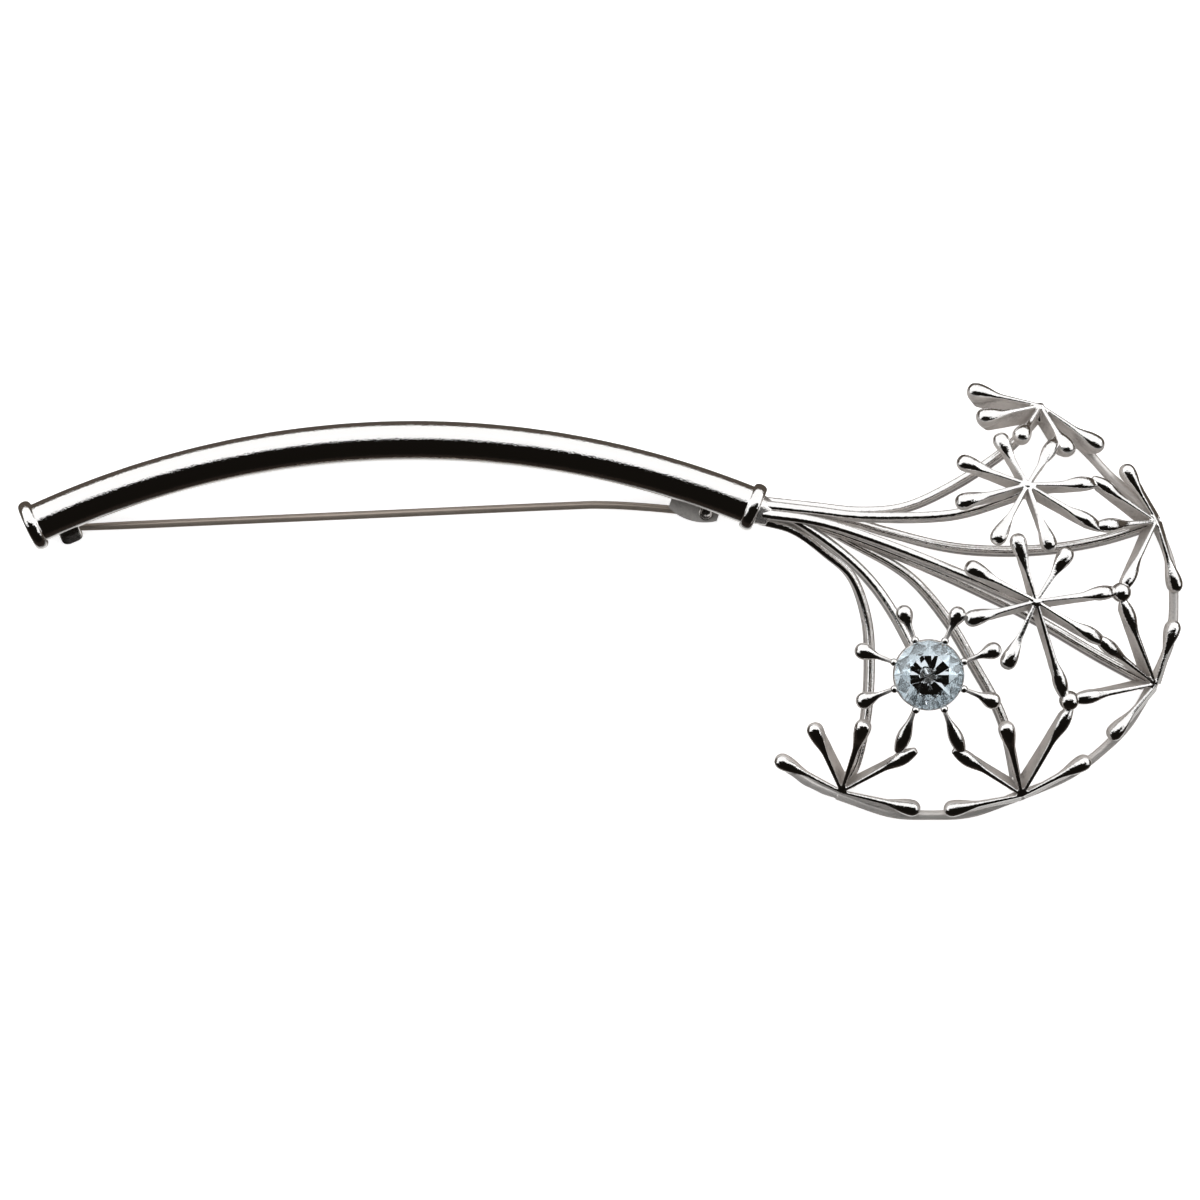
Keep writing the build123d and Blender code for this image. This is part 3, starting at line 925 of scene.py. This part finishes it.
@dataclass(frozen=True)
class Dome:
    """The shallow dome that the ridges of all florets lie on, in millimetres."""

    x: float = 33.33
    y: float = -0.22
    radius: float = 30.5
    rim: float = 20.4
    rim_height: float = 1.50
    lowest: float = 0.85

    def height(self, x: Grid, y: Grid) -> Grid:
        """Height of the ridges: a sphere's cap through the rim circle, never below a lying drop.

        Args:
            x: Places along the stem, in millimetres.
            y: Places across it.

        Returns:
            The height at each place, in millimetres.
        """
        out = (x - self.x) ** 2 + (y - self.y) ** 2
        cap = np.sqrt(np.maximum(self.radius**2 - out, 0.0)) - math.sqrt(self.radius**2 - self.rim**2)
        return np.maximum(self.rim_height + cap, self.lowest)


DOME = Dome()


@dataclass(frozen=True)
class ArmShape:
    """The widths that all arms share, in millimetres.

    Attributes:
        hub: Half width at the hub.
        widening: How much wider than that the arm gets on its way.
        joined_drop: Half width of a joined drop.
        joined_swell: How far from its tip a joined drop is full, and how far it begins.
        drawn_in: The share of its width that a joined drop loses at its neck.
        free_swell: How far from its tip a free drop is full, and how far it begins.
        free_share: The most of a short arm's length that its drop takes.
        rounding: How far from its tip a free drop is rounded off.
        reach: How far a joined arm goes on into its neighbour.
    """

    hub: float = 0.17
    widening: float = 0.23
    joined_drop: float = 0.70
    joined_swell: tuple[float, float] = (1.7, 4.0)
    drawn_in: float = 0.55
    free_swell: tuple[float, float] = (0.9, 3.6)
    free_share: float = 0.55
    rounding: float = 0.85
    reach: float = 0.40


ARM = ArmShape()


@dataclass(frozen=True)
class Arm:
    """One arm of a floret.

    Attributes:
        heading: Its heading in plan, in degrees.
        length: Its length in plan, in millimetres.
        joined: Whether its drop is drawn out to a neighbour, not rounded off.
    """

    heading: float
    length: float
    joined: bool = False

    def half_width(self, run: Grid, length: float, drop: float) -> Grid:
        """The arm's half width, in metres.

        A straight taper widens from the hub. Near the tip it swells by a smooth step to the drop's radius. A free
        drop is closed by a quarter circle, and a joined one is drawn in by a squared step to a neck.

        Args:
            run: The distance from the hub at each station.
            length: The arm's length on the dome.
            drop: The radius of a free drop, in millimetres.

        Returns:
            The half width at each station.
        """
        left = (length - run) / MM
        taper = ARM.hub + ARM.widening * run / length
        if self.joined:
            full, begun = ARM.joined_swell
            swell = 1.0 - smooth_step(full, begun, left)
            neck = 1.0 - ARM.drawn_in * np.clip(1.0 - left / full, 0.0, 1.0) ** 2
            return (taper + (ARM.joined_drop - taper) * swell) * neck * MM
        full, begun = ARM.free_swell
        swell = 1.0 - smooth_step(full, min(begun, ARM.free_share * length / MM), left)
        closing = np.sqrt(np.maximum(1.0 - np.clip(1.0 - left / ARM.rounding, 0.0, 1.0) ** 2, 1e-4))
        return (taper + (drop - taper) * swell) * closing * MM


# Sections along an arm.
ARM_STATIONS = 90
# How far a web along the rim leans outwards for each unit that it goes down.
RIM_SPLAY = 0.42
# The share of its depth at the hub that a web along the rim has.
RIM_DEPTH = 0.66
# Smoothing steps after the voxel remesh of a floret.
SOFTENING = 12
# How far forward the metal has to face before it begins to be buffed, and before it is bright.
BUFFED = (0.22, 0.62)


@dataclass(frozen=True)
class Floret:
    """One star of arms on the dome.

    Attributes:
        name: The CAD node that it stands for.
        hub: Its hub in plan, in millimetres.
        lean: How far its axis leans from +Z, in degrees.
        towards: The heading in plan that its axis leans to, in degrees.
        arms: Its arms. On a rim floret, the first and last run along the rim.
        rim: Whether it stands on the rim.
        start: Where its arms begin, measured from the hub.
        depth: How deep its webs hang at the hub.
        tip_depth: How deep they hang at the drops.
        drop: The radius of its free drops.
        flat: The power of its ridges' tops: 2 is round, 3 is flat.
    """

    name: str
    hub: tuple[float, float]
    lean: float
    towards: float
    arms: tuple[Arm, ...]
    rim: bool = False
    start: float = 0.0
    depth: float = 2.0
    tip_depth: float = 1.1
    drop: float = 0.80
    flat: float = 2.0

    def axis(self) -> Grid:
        """The direction that the floret faces."""
        lean, towards = math.radians(self.lean), math.radians(self.towards)
        return np.array([math.sin(lean) * math.cos(towards), math.sin(lean) * math.sin(towards), math.cos(lean)])

    def hub_point(self) -> Grid:
        """The hub on the dome, in metres."""
        return np.array([*self.hub, float(DOME.height(*np.array(self.hub)))]) * MM

    def arm_path(self, arm: Arm, count: int) -> Grid:
        """The arm's ridge: straight in plan and lying on the dome.

        Args:
            arm: The arm.
            count: How many points the ridge has.

        Returns:
            The points, in metres.
        """
        run = np.linspace(self.start, arm.length + (ARM.reach if arm.joined else 0.0), count)
        heading = math.radians(arm.heading)
        x = self.hub[0] + run * math.cos(heading)
        y = self.hub[1] + run * math.sin(heading)
        return np.stack([x, y, DOME.height(x, y)], axis=1) * MM

    def hang(self, along_rim: bool, path: Grid) -> Grid:
        """The direction of an arm's web: against the floret's axis, or down and outwards along the rim.

        Args:
            along_rim: Whether the arm runs along the rim.
            path: The arm's ridge.

        Returns:
            The direction at each point.
        """
        if not along_rim:
            return np.broadcast_to(-self.axis(), path.shape)
        out = unit((path - np.array([DOME.x * MM, DOME.y * MM, 0.0])) * [1.0, 1.0, 0.0])
        return unit(out * RIM_SPLAY - FRONT)

    def build(self, voxel: float) -> bpy.types.Object:
        """Builds the arms and the hub, and melts them into one casting.

        The half width tells ridge from drop: a drop is rounder, taller and deeper than a ridge. The web tapers
        evenly in depth and closes by a square root at the tip.

        Args:
            voxel: The size of the remesh's cells, in metres.

        Returns:
            The object.
        """
        piece = MeshPiece(self.name + "_star")
        for index, arm in enumerate(self.arms):
            along_rim = self.rim and index in (0, len(self.arms) - 1)
            path = self.arm_path(arm, ARM_STATIONS)
            run = lengths_along(path)
            wide = arm.half_width(run, run[-1], self.drop)
            full = smooth_step(0.35 * MM, 0.75 * MM, wide)
            hub_depth = self.depth * (RIM_DEPTH if along_rim else 1.0)
            depth = (hub_depth + (self.tip_depth - hub_depth) * run / run[-1]) * MM
            closing = np.sqrt(np.clip((run[-1] - run) / (1.1 * MM), 0.0, 1.0))
            thin = 1.15 - 0.2 * self.flat
            rise = wide * (thin + (0.9 - thin) * full)
            power = self.flat + (2.0 - self.flat) * full
            web = np.minimum(0.62 * wide, 0.24 * MM)
            size = RibSize(wide, rise, power, wide * (1.0 + 0.2 * full), web, depth * closing)
            piece.add_grid(rib(path, self.hang(along_rim, path), size))
        self.add_hub(piece)
        made = fuse(piece.build(), voxel, SOFTENING)
        self.polish(made)
        return made

    def add_hub(self, piece: MeshPiece) -> None:
        """Adds the hub's core, which spreads downwards by a squared step as a fillet between the webs.

        Args:
            piece: The floret's grids so far. A floret whose arms start at a setting has no core.
        """
        if self.start:
            return
        drop = np.linspace(0.0, 1.0, 12)
        top = (0.05 if self.rim else 0.16) * MM
        spread = (0.30 + (0.75 if self.rim else 0.35) * drop**2) * MM
        core = np.stack([spread, top - drop * self.depth * 0.9 * MM], axis=1)
        tilt = [0.0, 0.0 if self.rim else 0.14, 0.0]
        piece.add_grid(turned(core, self.hub_point(), self.axis() + tilt, 24))

    def polish(self, piece: bpy.types.Object) -> None:
        """Marks what a buff reaches: faces turned to the front of the floret, and less so beside the stone.

        Args:
            piece: The melted floret.
        """
        facing = point_array(piece.data, normals=True) @ unit(self.axis() + 0.5 * FRONT)
        shine = smooth_step(*BUFFED, facing)
        if self.start:
            out = np.linalg.norm(point_array(piece.data)[:, :2] - np.array(self.hub) * MM, axis=1) / MM
            shine = shine * (0.35 + 0.65 * smooth_step(self.start + 0.2, self.start + 2.6, out))
        set_polish(piece.data, shine)


def arms(*sizes: tuple) -> tuple[Arm, ...]:
    """Arms from their headings and lengths, and True for a joined drop."""
    return tuple(Arm(*size) for size in sizes)


FLORETS = (
    Floret("floret_crown", (41.4, 18.3), 56, 80,
           arms((168, 7.1), (192, 6.3), (236, 4.2), (300, 5.5), (325, 7.2)), depth=1.9, tip_depth=1.6,
           drop=0.88),
    Floret("floret_upper", (39.9, 10.8), 30, 78,
           arms((120, 5.5), (56, 4.9, True), (161, 7.0), (195, 7.1), (240, 6.5), (289, 6.7), (1, 6.3, True),
                (329, 7.7, True)), flat=3.0),
    Floret("floret_rim_right", (52.3, 7.4), 42, 25,
           arms((121, 6.2), (147, 7.0, True), (185, 5.7, True), (242, 7.0, True), (286, 7.0)), rim=True),
    Floret("floret_centre", (40.6, -0.1), 24, 68,
           arms((107, 6.6), (57, 5.9), (7, 7.4, True), (329, 7.2, True), (287, 9.1, True), (245, 7.0), (195, 7.0),
                (153, 7.5)), flat=3.0),
    Floret("floret_rim_low", (52.2, -7.9), 42, -20,
           arms((73, 6.3), (113, 8.3, True), (143, 6.9, True), (190, 7.8, True), (229, 6.8)), rim=True),
    Floret("floret_rim_base", (39.6, -18.3), 42, -70,
           arms((191, 7.5), (147, 7.5, True), (105, 7.2), (62, 9.0, True), (28, 7.3)), rim=True),
    Floret("floret_rim_left", (22.7, -18.0), 42, -120,
           arms((153, 7.0), (114, 7.1), (73, 7.1), (30, 7.5, True), (-13, 7.6)), rim=True),
    Floret("floret_stone", (30.60, -6.98), 4, 0,
           arms((112, 7.0), (65, 7.0), (160, 7.3), (21, 7.2), (202, 7.2), (338, 7.2), (249, 7.4, True),
                (294, 7.6, True)), start=2.95, depth=1.2),
)


@dataclass(frozen=True)
class Stalk:
    """One ray from the neck to a floret.

    Attributes:
        name: The CAD node that it stands for.
        floret: The floret that it ends in.
        seat: Its angle in the bundle, or None for the middle.
        way: The points that it passes in plan, in millimetres.
        rise: The power of its climb: above one, it climbs late.
        lean: The heading in plan that its web leans to, in degrees.
    """

    name: str
    floret: str
    seat: float | None
    way: tuple[tuple[float, float], ...]
    rise: float
    lean: float


STALKS = (
    Stalk("stalk_crown", "floret_crown", 0,
          ((20.0, 8.8), (24.5, 8.4), (28.8, 8.9), (33.3, 11.0), (37.0, 13.4), (39.1, 15.2)), 1.0, -60),
    Stalk("stalk_upper", "floret_upper", 51,
          ((20.0, 8.4), (25.0, 7.9), (32.7, 8.1), (38.0, 9.6)), 1.5, -90),
    Stalk("stalk_centre", "floret_centre", 103,
          ((20.7, 7.3), (26.6, 5.4), (33.6, 2.6), (37.6, 0.8)), 1.4, -110),
    Stalk("stalk_stone", "floret_stone", 154,
          ((17.1, 8.1), (20.9, 5.9), (24.8, 2.6), (27.6, -1.2)), 1.3, -140),
    Stalk("stalk_rim_left", "floret_rim_left", 206,
          ((18.2, 6.6), (21.3, 4.4), (23.8, 2.1), (25.2, -1.8), (25.5, -6.0), (25.2, -10.8), (24.2, -15.4)), 1.0, 180),
    Stalk("stalk_rim_base", "floret_rim_base", 257,
          ((19.0, 7.7), (23.8, 5.4), (29.0, 2.4), (32.6, -1.6), (35.2, -5.9), (38.0, -11.3)), 1.0, -150),
    Stalk("stalk_rim_right", "floret_rim_right", 309,
          ((23.0, 7.6), (26.6, 6.6), (31.8, 5.3), (36.3, 4.8), (41.6, 4.9), (46.8, 5.7)), 1.0, -90),
    Stalk("stalk_rim_low", "floret_rim_low", None,
          ((20.7, 6.9), (26.5, 4.9), (33.5, 2.0), (40.5, -1.4), (46.7, -5.0)), 1.0, -110),
)


@dataclass
class FlowerHead:
    """The umbel: stalks, florets, rim wires and solder balls. Sizes are in metres unless they say mm.

    Attributes:
        stem: The stem that the bundle of stalks leaves.
        bundle: How far from the bundle's axis the stalks begin.
        ridge: Half width of a stalk's ridge.
        web: Half the thickness of a stalk's web.
        wire: Radius of the rim wires.
        web_depth_mm: Depth of a stalk's web at the neck.
        web_growth_mm: How much deeper the web gets on its way.
        web_lean: How far a web leans over for each unit that it goes down.
        stalk_buffed: As BUFFED, for the stalks.
        wire_polish: The most polish that a rim wire has.
        voxel: Size of the remesh's cells.
    """

    stem: Stem
    bundle: float = 0.97 * MM
    ridge: float = 0.36 * MM
    web: float = 0.30 * MM
    wire: float = 0.50 * MM
    web_depth_mm: float = 0.70
    web_growth_mm: float = 0.40
    web_lean: float = 0.62
    stalk_buffed: tuple[float, float] = (0.35, 0.70)
    wire_polish: float = 0.35
    voxel: float = 0.065 * MM
    quick_voxel: float = 0.11 * MM

    def stalk_path(self, stalk: Stalk) -> Grid:
        """The stalk's ridge: from its seat in the bundle, over its way in plan, to under its floret.

        Its height climbs by a power of the share of the way gone.

        Args:
            stalk: The stalk.

        Returns:
            The points, in metres.
        """
        floret = next(f for f in FLORETS if f.name == stalk.floret)
        along = self.stem.along(self.stem.neck)
        start = self.stem.at(np.float64(self.stem.neck)) + along * 1.0 * MM
        if stalk.seat is not None:
            seat = math.radians(stalk.seat)
            start = start + self.bundle * (math.cos(seat) * np.cross(FRONT, along) + math.sin(seat) * FRONT)
        if floret.start:
            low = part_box("stone_collet")[0]
            end = np.array([*floret.hub_point()[:2], low.z + 0.3 * MM])
        else:
            end = floret.hub_point() - floret.axis() * 0.8 * MM
        plan = np.vstack([start[:2], np.array(stalk.way) * MM, end[:2]])
        share = lengths_along(plan)
        share = share / share[-1]
        height = start[2] + (end[2] - start[2]) * share**stalk.rise
        return curve_through(np.column_stack([plan, height]), 220)

    def stalk(self, stalk: Stalk) -> bpy.types.Object:
        """One stalk: a ridge over a web that leans, thicker towards the neck.

        Args:
            stalk: The stalk.

        Returns:
            The object.
        """
        path = self.stalk_path(stalk)
        share = np.linspace(0.0, 1.0, len(path))
        wide = self.ridge * (1.25 - 0.25 * smooth_step(0.0, 0.5, share))
        depth = (self.web_depth_mm + self.web_growth_mm * smooth_step(0.1, 0.6, share)) * MM
        size = RibSize(wide, 0.75 * wide, 2.3, wide, self.web * (1.1 - 0.1 * share), depth)
        lean = math.radians(stalk.lean)
        down = unit(np.array([self.web_lean * math.cos(lean), self.web_lean * math.sin(lean), -1.0]))
        made = shaped(stalk.name + "_rib", rib(path, np.broadcast_to(down, path.shape), size))
        facing = point_array(made.data, normals=True)[:, 2]
        set_polish(made.data, smooth_step(*self.stalk_buffed, facing))
        return made

    def rim_wire(self, node: str, points: tuple[tuple[float, float], ...]) -> bpy.types.Object:
        """One rim wire: a nearly round bar on a smooth line in plan, lying on the surface.

        Args:
            node: The CAD node that it stands for.
            points: The points that it passes in plan, in millimetres.

        Returns:
            The object.
        """
        plan = np.array([[x, y, self.wire / MM] for x, y in points]) * MM
        path = curve_through(plan, 90)
        share = np.linspace(0.0, 1.0, len(path))
        radius = self.wire * (0.95 + 0.05 * np.cos(TAU * 3 * share))
        around = 28
        grid = bent_bar(path, radius, around, flat=self.wire / radius * 0.99)
        facing = np.sin(np.arange(around) * TAU / around)[None]
        return shaped(node + "_bar", grid, self.wire_polish * smooth_step(0.3, 0.8, facing))

    def ball(self, node: str) -> bpy.types.Object:
        """A solder ball: a sphere flattened a little front to back, on its CAD node's box.

        Args:
            node: The CAD node that it stands for.

        Returns:
            The object.
        """
        low, high = (np.array(corner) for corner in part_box(node))
        radius = (high[0] - low[0]) / 2
        turn = np.linspace(-0.5 * math.pi, 0.5 * math.pi, 41)
        profile = np.stack([np.maximum(radius * np.cos(turn), POLE), 0.97 * radius * np.sin(turn)], axis=1)
        return shaped(node + "_bead", turned(profile, (low + high) / 2, FRONT, 64))

    def make(self, bench: Bench) -> None:
        """Builds and delivers the flower head's pieces."""
        for stalk in STALKS:
            bench.deliver(self.stalk(stalk), Slot.CAST, "brooch", stalk.name)
        voxel = self.voxel
        for floret in FLORETS:
            bench.deliver(floret.build(voxel), Slot.CAST, "brooch", floret.name)
        for node, points in RIM_WIRES.items():
            bench.deliver(self.rim_wire(node, points), Slot.CAST, "brooch", node)
        for node in ("solder_ball_upper", "solder_ball_lower"):
            bench.deliver(self.ball(node), Slot.CAST, "brooch", node)


RIM_WIRES = {
    "rim_wire_crown": ((41.6, 17.6), (45.2, 14.6), (48.0, 11.6), (50.3, 9.6), (52.4, 7.4)),
    "rim_wire_right": ((52.0, 7.9), (53.6, 3.7), (54.0, -0.1), (53.6, -4.0), (51.9, -8.2)),
    "rim_wire_low": ((52.3, -7.4), (49.7, -11.6), (46.7, -14.6), (43.4, -16.8), (39.3, -18.5)),
    "rim_wire_base": ((40.0, -18.2), (35.3, -19.9), (31.0, -20.25), (26.9, -19.9), (22.3, -18.3)),
    "rim_tail": ((23.2, -18.6), (20.0, -17.3), (17.6, -15.7)),
}


# ---------------------------------------------------------------- the stone


@dataclass
class StoneSetting:
    """The cut stone, its cup and its claws. Sizes are in metres."""

    table_share: float = 0.60
    crown_share: float = 0.82
    pavilion_share: float = 0.27
    girdle_half: float = 0.09 * MM
    table_height: float = 1.02 * MM
    crown_height: float = 1.125 * MM
    pavilion_depth: float = 3.53 * MM
    claw: float = 0.30 * MM
    bead: float = 0.37 * MM

    def place(self) -> tuple[Grid, float, float]:
        """Where the stone sits, read from its CAD node's box.

        Returns:
            Its centre in plan, its radius and the height of its girdle.
        """
        low, high = (np.array(corner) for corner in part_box("stone"))
        radius = (high[0] - low[0]) / 2
        return (low[:2] + high[:2]) / 2, radius, high[2] - self.crown_height

    def stone(self) -> bpy.types.Object:
        """The stone, cut as a round brilliant.

        Eight table corners, eight crown corners between them and sixteen girdle corners; then sixteen girdle
        corners below, eight pavilion corners and the point. The crown and pavilion corners are set so that
        each kite-shaped main facet is flat: their heights are on the line from the girdle to the table or the
        point.

        Returns:
            The object.
        """
        middle, radius, girdle = self.place()
        culet = girdle - self.pavilion_depth
        eighth = math.pi / 8
        table, crown, pavilion = self.table_share * radius, self.crown_share * radius, self.pavilion_share * radius
        top = girdle + self.table_height
        high, low = girdle + self.girdle_half, girdle - self.girdle_half
        crown_z = top - (top - high) * (crown * math.cos(eighth) - table) / (radius - table)
        pavilion_z = low - (low - culet) * (radius - pavilion * math.cos(eighth)) / radius

        def ring(size: float, height: float, count: int, offset: float) -> Grid:
            """Points evenly round the stone's middle."""
            angle = np.arange(count) * TAU / count + offset
            return np.stack([middle[0] + size * np.cos(angle), middle[1] + size * np.sin(angle),
                             np.full(count, height)], axis=1)

        points = np.vstack([ring(table, top, 8, eighth), ring(crown, crown_z, 8, 2 * eighth),
                            ring(radius, high, 16, eighth), ring(radius, low, 16, eighth),
                            ring(pavilion, pavilion_z, 8, 2 * eighth), [[*middle, culet]]])
        faces = [list(range(8))]
        for k in range(8):
            after, before, g = (k + 1) % 8, (k - 1) % 8, 2 * k
            faces += [[k, 8 + k, after], [k, 8 + before, 16 + g, 8 + k],
                      [8 + k, 16 + g, 16 + (g + 1) % 16], [8 + k, 16 + (g + 1) % 16, 16 + (g + 2) % 16],
                      [48 + k, 32 + (g + 1) % 16, 32 + g], [48 + k, 32 + (g + 2) % 16, 32 + (g + 1) % 16],
                      [56, 48 + k, 32 + g, 48 + before]]
        faces += [[16 + g, 32 + g, 32 + (g + 1) % 16, 16 + (g + 1) % 16] for g in range(16)]
        return new_object("cut_stone", points, faces)

    def cup(self) -> bpy.types.Object:
        """The open-backed cup under the stone and the ring that the arms spring from, turned about its middle.

        The cup's wall leans out evenly and is of even thickness. The ring's section is an oval.

        Returns:
            The object.
        """
        axis = np.array([*self.place()[0], 0.0])
        low, high = (np.array(corner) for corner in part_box("stone_collet"))
        foot, lip = low[2], high[2] - 0.15 * MM
        share = np.linspace(0.0, 1.0, 20)
        outer = np.stack([(1.5 + 1.55 * share) * MM, foot + (lip - foot) * share], axis=1)
        inner = np.stack([outer[::-1, 0] - 0.28 * MM, outer[::-1, 1]], axis=1)
        piece = MeshPiece("stone_cup")
        piece.add_grid(turned(np.vstack([outer, inner]), axis, FRONT, 96), 0.9, ring=True)
        turn = np.arange(28) * TAU / 28
        band = np.stack([(3.06 + 0.28 * np.cos(turn)) * MM, lip - 0.55 * MM + 0.45 * MM * np.sin(turn)], axis=1)
        piece.add_grid(turned(band, axis, FRONT, 96), 0.6, ring=True)
        return piece.build()

    def claws(self) -> bpy.types.Object:
        """Eight claws: a post that rises outside the girdle, leans in, and ends in a round bead.

        Returns:
            The object.
        """
        middle, radius, girdle = self.place()
        piece = MeshPiece("claw_set")
        for arm in next(f for f in FLORETS if f.start).arms:
            heading = math.radians(arm.heading)
            out = np.array([math.cos(heading), math.sin(heading), 0.0])
            levels = np.array([[radius - 0.05 * MM, girdle - 1.2 * MM], [radius + 0.16 * MM, girdle - 0.5 * MM],
                               [radius + 0.24 * MM, girdle + 0.02 * MM], [radius + 0.12 * MM, girdle + 0.48 * MM]])
            points = np.array([*middle, 0.0]) + levels[:, :1] * out + levels[:, 1:] * FRONT
            path = curve_through(points, 48)
            run = lengths_along(path)
            size = beaded(run, self.claw, self.bead)
            piece.add_grid(bent_bar(path, size, 24, front=np.cross(out, FRONT)))
        return piece.build()

    def make(self, bench: Bench) -> None:
        """Builds and delivers the setting's pieces."""
        bench.deliver(self.stone(), Slot.STONE, "brooch", "stone")
        bench.deliver(self.cup(), Slot.CAST, "brooch", "stone_collet")
        bench.deliver(self.claws(), Slot.CAST, "brooch", "stone_claws")


# ---------------------------------------------------------------- the studio


@dataclass(frozen=True)
class Panel:
    """A soft rectangular light, aimed at a point.

    Attributes:
        name: Its name.
        place: Its centre.
        target: The point that it faces.
        size: Its width and height.
        radiance: How bright it looks.
        metal: Whether metal shows it.
        stone: Whether it is seen through the stone. A light for the stone alone falls on nothing else.
    """

    name: str
    place: tuple[float, float, float]
    target: tuple[float, float, float]
    size: tuple[float, float]
    radiance: float
    metal: bool = True
    stone: bool = True

    def hang(self) -> None:
        """Makes the light. Its power is its radiance times pi times its area."""
        light = bpy.data.lights.new(self.name, "AREA")
        light.shape = "RECTANGLE"
        light.size, light.size_y = self.size
        light.energy = self.radiance * math.pi * self.size[0] * self.size[1]
        lamp = bpy.data.objects.new(self.name, light)
        lamp.location = self.place
        aim = Vector(self.target) - Vector(self.place)
        lamp.rotation_mode = "QUATERNION"
        lamp.rotation_quaternion = aim.to_track_quat("-Z", "Y")
        lamp.visible_glossy = self.metal
        lamp.visible_transmission = self.stone
        lamp.visible_diffuse = self.metal or not self.stone
        bpy.context.scene.collection.objects.link(lamp)


PANELS = (
    Panel("back_wall", (0.0, 0.9, 0.38), (0.0, 0.0, 0.38), (3.0, 1.03), 1.05),
    Panel("back_top", (0.0, 0.56, 1.02), (0.0, 0.0, 0.0), (3.0, 0.70), 1.05),
    Panel("left_wall", (-0.85, 0.25, 0.38), (0.0, 0.25, 0.15), (1.0, 0.68), 1.0, stone=False),
    Panel("right_wall", (0.85, 0.25, 0.38), (0.0, 0.25, 0.15), (1.0, 0.68), 1.0, stone=False),
    Panel("stone_left", (-0.85, -0.15, 0.50), (0.0, -0.15, 0.20), (1.5, 0.95), 1.0, metal=False),
    Panel("stone_right", (0.85, -0.15, 0.50), (0.0, -0.15, 0.20), (1.5, 0.95), 1.0, metal=False),
    Panel("stone_front", (0.0, -0.90, 0.30), (0.0, 0.0, 0.10), (1.6, 0.50), 1.0, metal=False),
    Panel("floor_fill", (0.0, 0.0, 1.3), (0.0, 0.0, 0.0), (2.2, 2.2), 0.9, metal=False, stone=False),
)


@dataclass
class Studio:
    """Floor, lights, surroundings and camera."""

    view_width: float = 112.2 * MM
    lens: float = 220.0
    sensor: float = 36.0
    floor_size: float = 3.0
    overhead: tuple[float, float, float] = (0.006, 0.005, 0.004)
    far_below: tuple[float, float, float] = (0.085, 0.070, 0.058)
    near_below: tuple[float, float, float] = (0.02, 0.015, 0.012)
    straight_down: tuple[float, float, float] = (0.85, 0.84, 0.82)

    def floor(self) -> None:
        """A plain pale floor just under the brooch, glowing a little so that its shadows stay pale."""
        half = self.floor_size / 2
        mesh = bpy.data.meshes.new("floor")
        mesh.from_pydata([(-half, -half, 0), (half, -half, 0), (half, half, 0), (-half, half, 0)], [], [(0, 1, 2, 3)])
        floor = bpy.data.objects.new("floor", mesh)
        floor.location.z = CAD_BOX[0][2] - 0.05 * MM
        bpy.context.scene.collection.objects.link(floor)
        pale = bpy.data.materials.new("pale_floor")
        pale.use_nodes = True
        shader = pale.node_tree.nodes["Principled BSDF"]
        shader.inputs["Base Color"].default_value = (0.95, 0.95, 0.95, 1.0)
        shader.inputs["Roughness"].default_value = 0.9
        shader.inputs["Specular IOR Level"].default_value = 0.0
        shader.inputs["Emission Color"].default_value = (1.0, 1.0, 1.0, 1.0)
        shader.inputs["Emission Strength"].default_value = 0.65
        mesh.materials.append(pale)
        floor.visible_glossy = False
        floor.visible_transmission = False

    def surroundings(self) -> None:
        """What metal sees where there is no light.

        It is dark above and warm grey below. On the near side it is dark below too, and pale straight down.
        """
        world = bpy.data.worlds.new("studio")
        world.use_nodes = True
        tools = NodeTools(world.node_tree)
        world.node_tree.nodes.clear()
        split = tools.add("ShaderNodeSeparateXYZ")
        tools.join(tools.add("ShaderNodeTexCoord").outputs["Generated"], split.inputs[0])
        below = tools.spread(split.outputs["Z"], (-0.12, 0.02), (1.0, 0.0))
        deep = tools.spread(split.outputs["Z"], (-0.95, -0.50), (1.0, 0.0))
        near = tools.spread(split.outputs["Y"], (-0.35, 0.1), (1.0, 0.0))
        low = tools.blend(deep, self.near_below, self.straight_down)
        under = tools.blend(near, self.far_below, low)
        seen = tools.add("ShaderNodeBackground")
        tools.join(tools.blend(below, self.overhead, under), seen.inputs["Color"])
        white = tools.add("ShaderNodeBackground")
        white.inputs["Color"].default_value = (1.0, 1.0, 1.0, 1.0)
        mix = tools.add("ShaderNodeMixShader")
        tools.join(tools.add("ShaderNodeLightPath").outputs["Is Camera Ray"], mix.inputs[0])
        tools.join(seen.outputs[0], mix.inputs[1])
        tools.join(white.outputs[0], mix.inputs[2])
        tools.join(mix.outputs[0], tools.add("ShaderNodeOutputWorld").inputs["Surface"])
        bpy.context.scene.world = world

    def camera(self) -> None:
        """A long lens straight above the brooch, with +Y up in the picture.

        Its distance is the width of the view times the lens over the sensor.
        """
        data = bpy.data.cameras.new("camera")
        data.lens = self.lens
        data.sensor_width = self.sensor
        data.clip_start, data.clip_end = 0.01, 20.0
        camera = bpy.data.objects.new("camera", data)
        camera.location = (0.0, 0.0, self.view_width * self.lens / self.sensor + 5.0 * MM)
        bpy.context.scene.collection.objects.link(camera)
        bpy.context.scene.camera = camera

    def make(self) -> None:
        """Builds the whole studio."""
        self.floor()
        self.camera()
        self.surroundings()
        for panel in PANELS:
            panel.hang()
        bpy.context.scene.view_settings.view_transform = "Standard"


def main() -> None:
    """Builds the studio and every piece of the brooch."""
    logging.basicConfig(level=logging.INFO, format="%(name)s: %(message)s")
    Studio().make()
    bench = Bench()
    stem = Stem()
    stem.make(bench)
    Pin(stem).make(bench)
    FlowerHead(stem).make(bench)
    StoneSetting().make(bench)


if __name__ == "__main__":
    main()
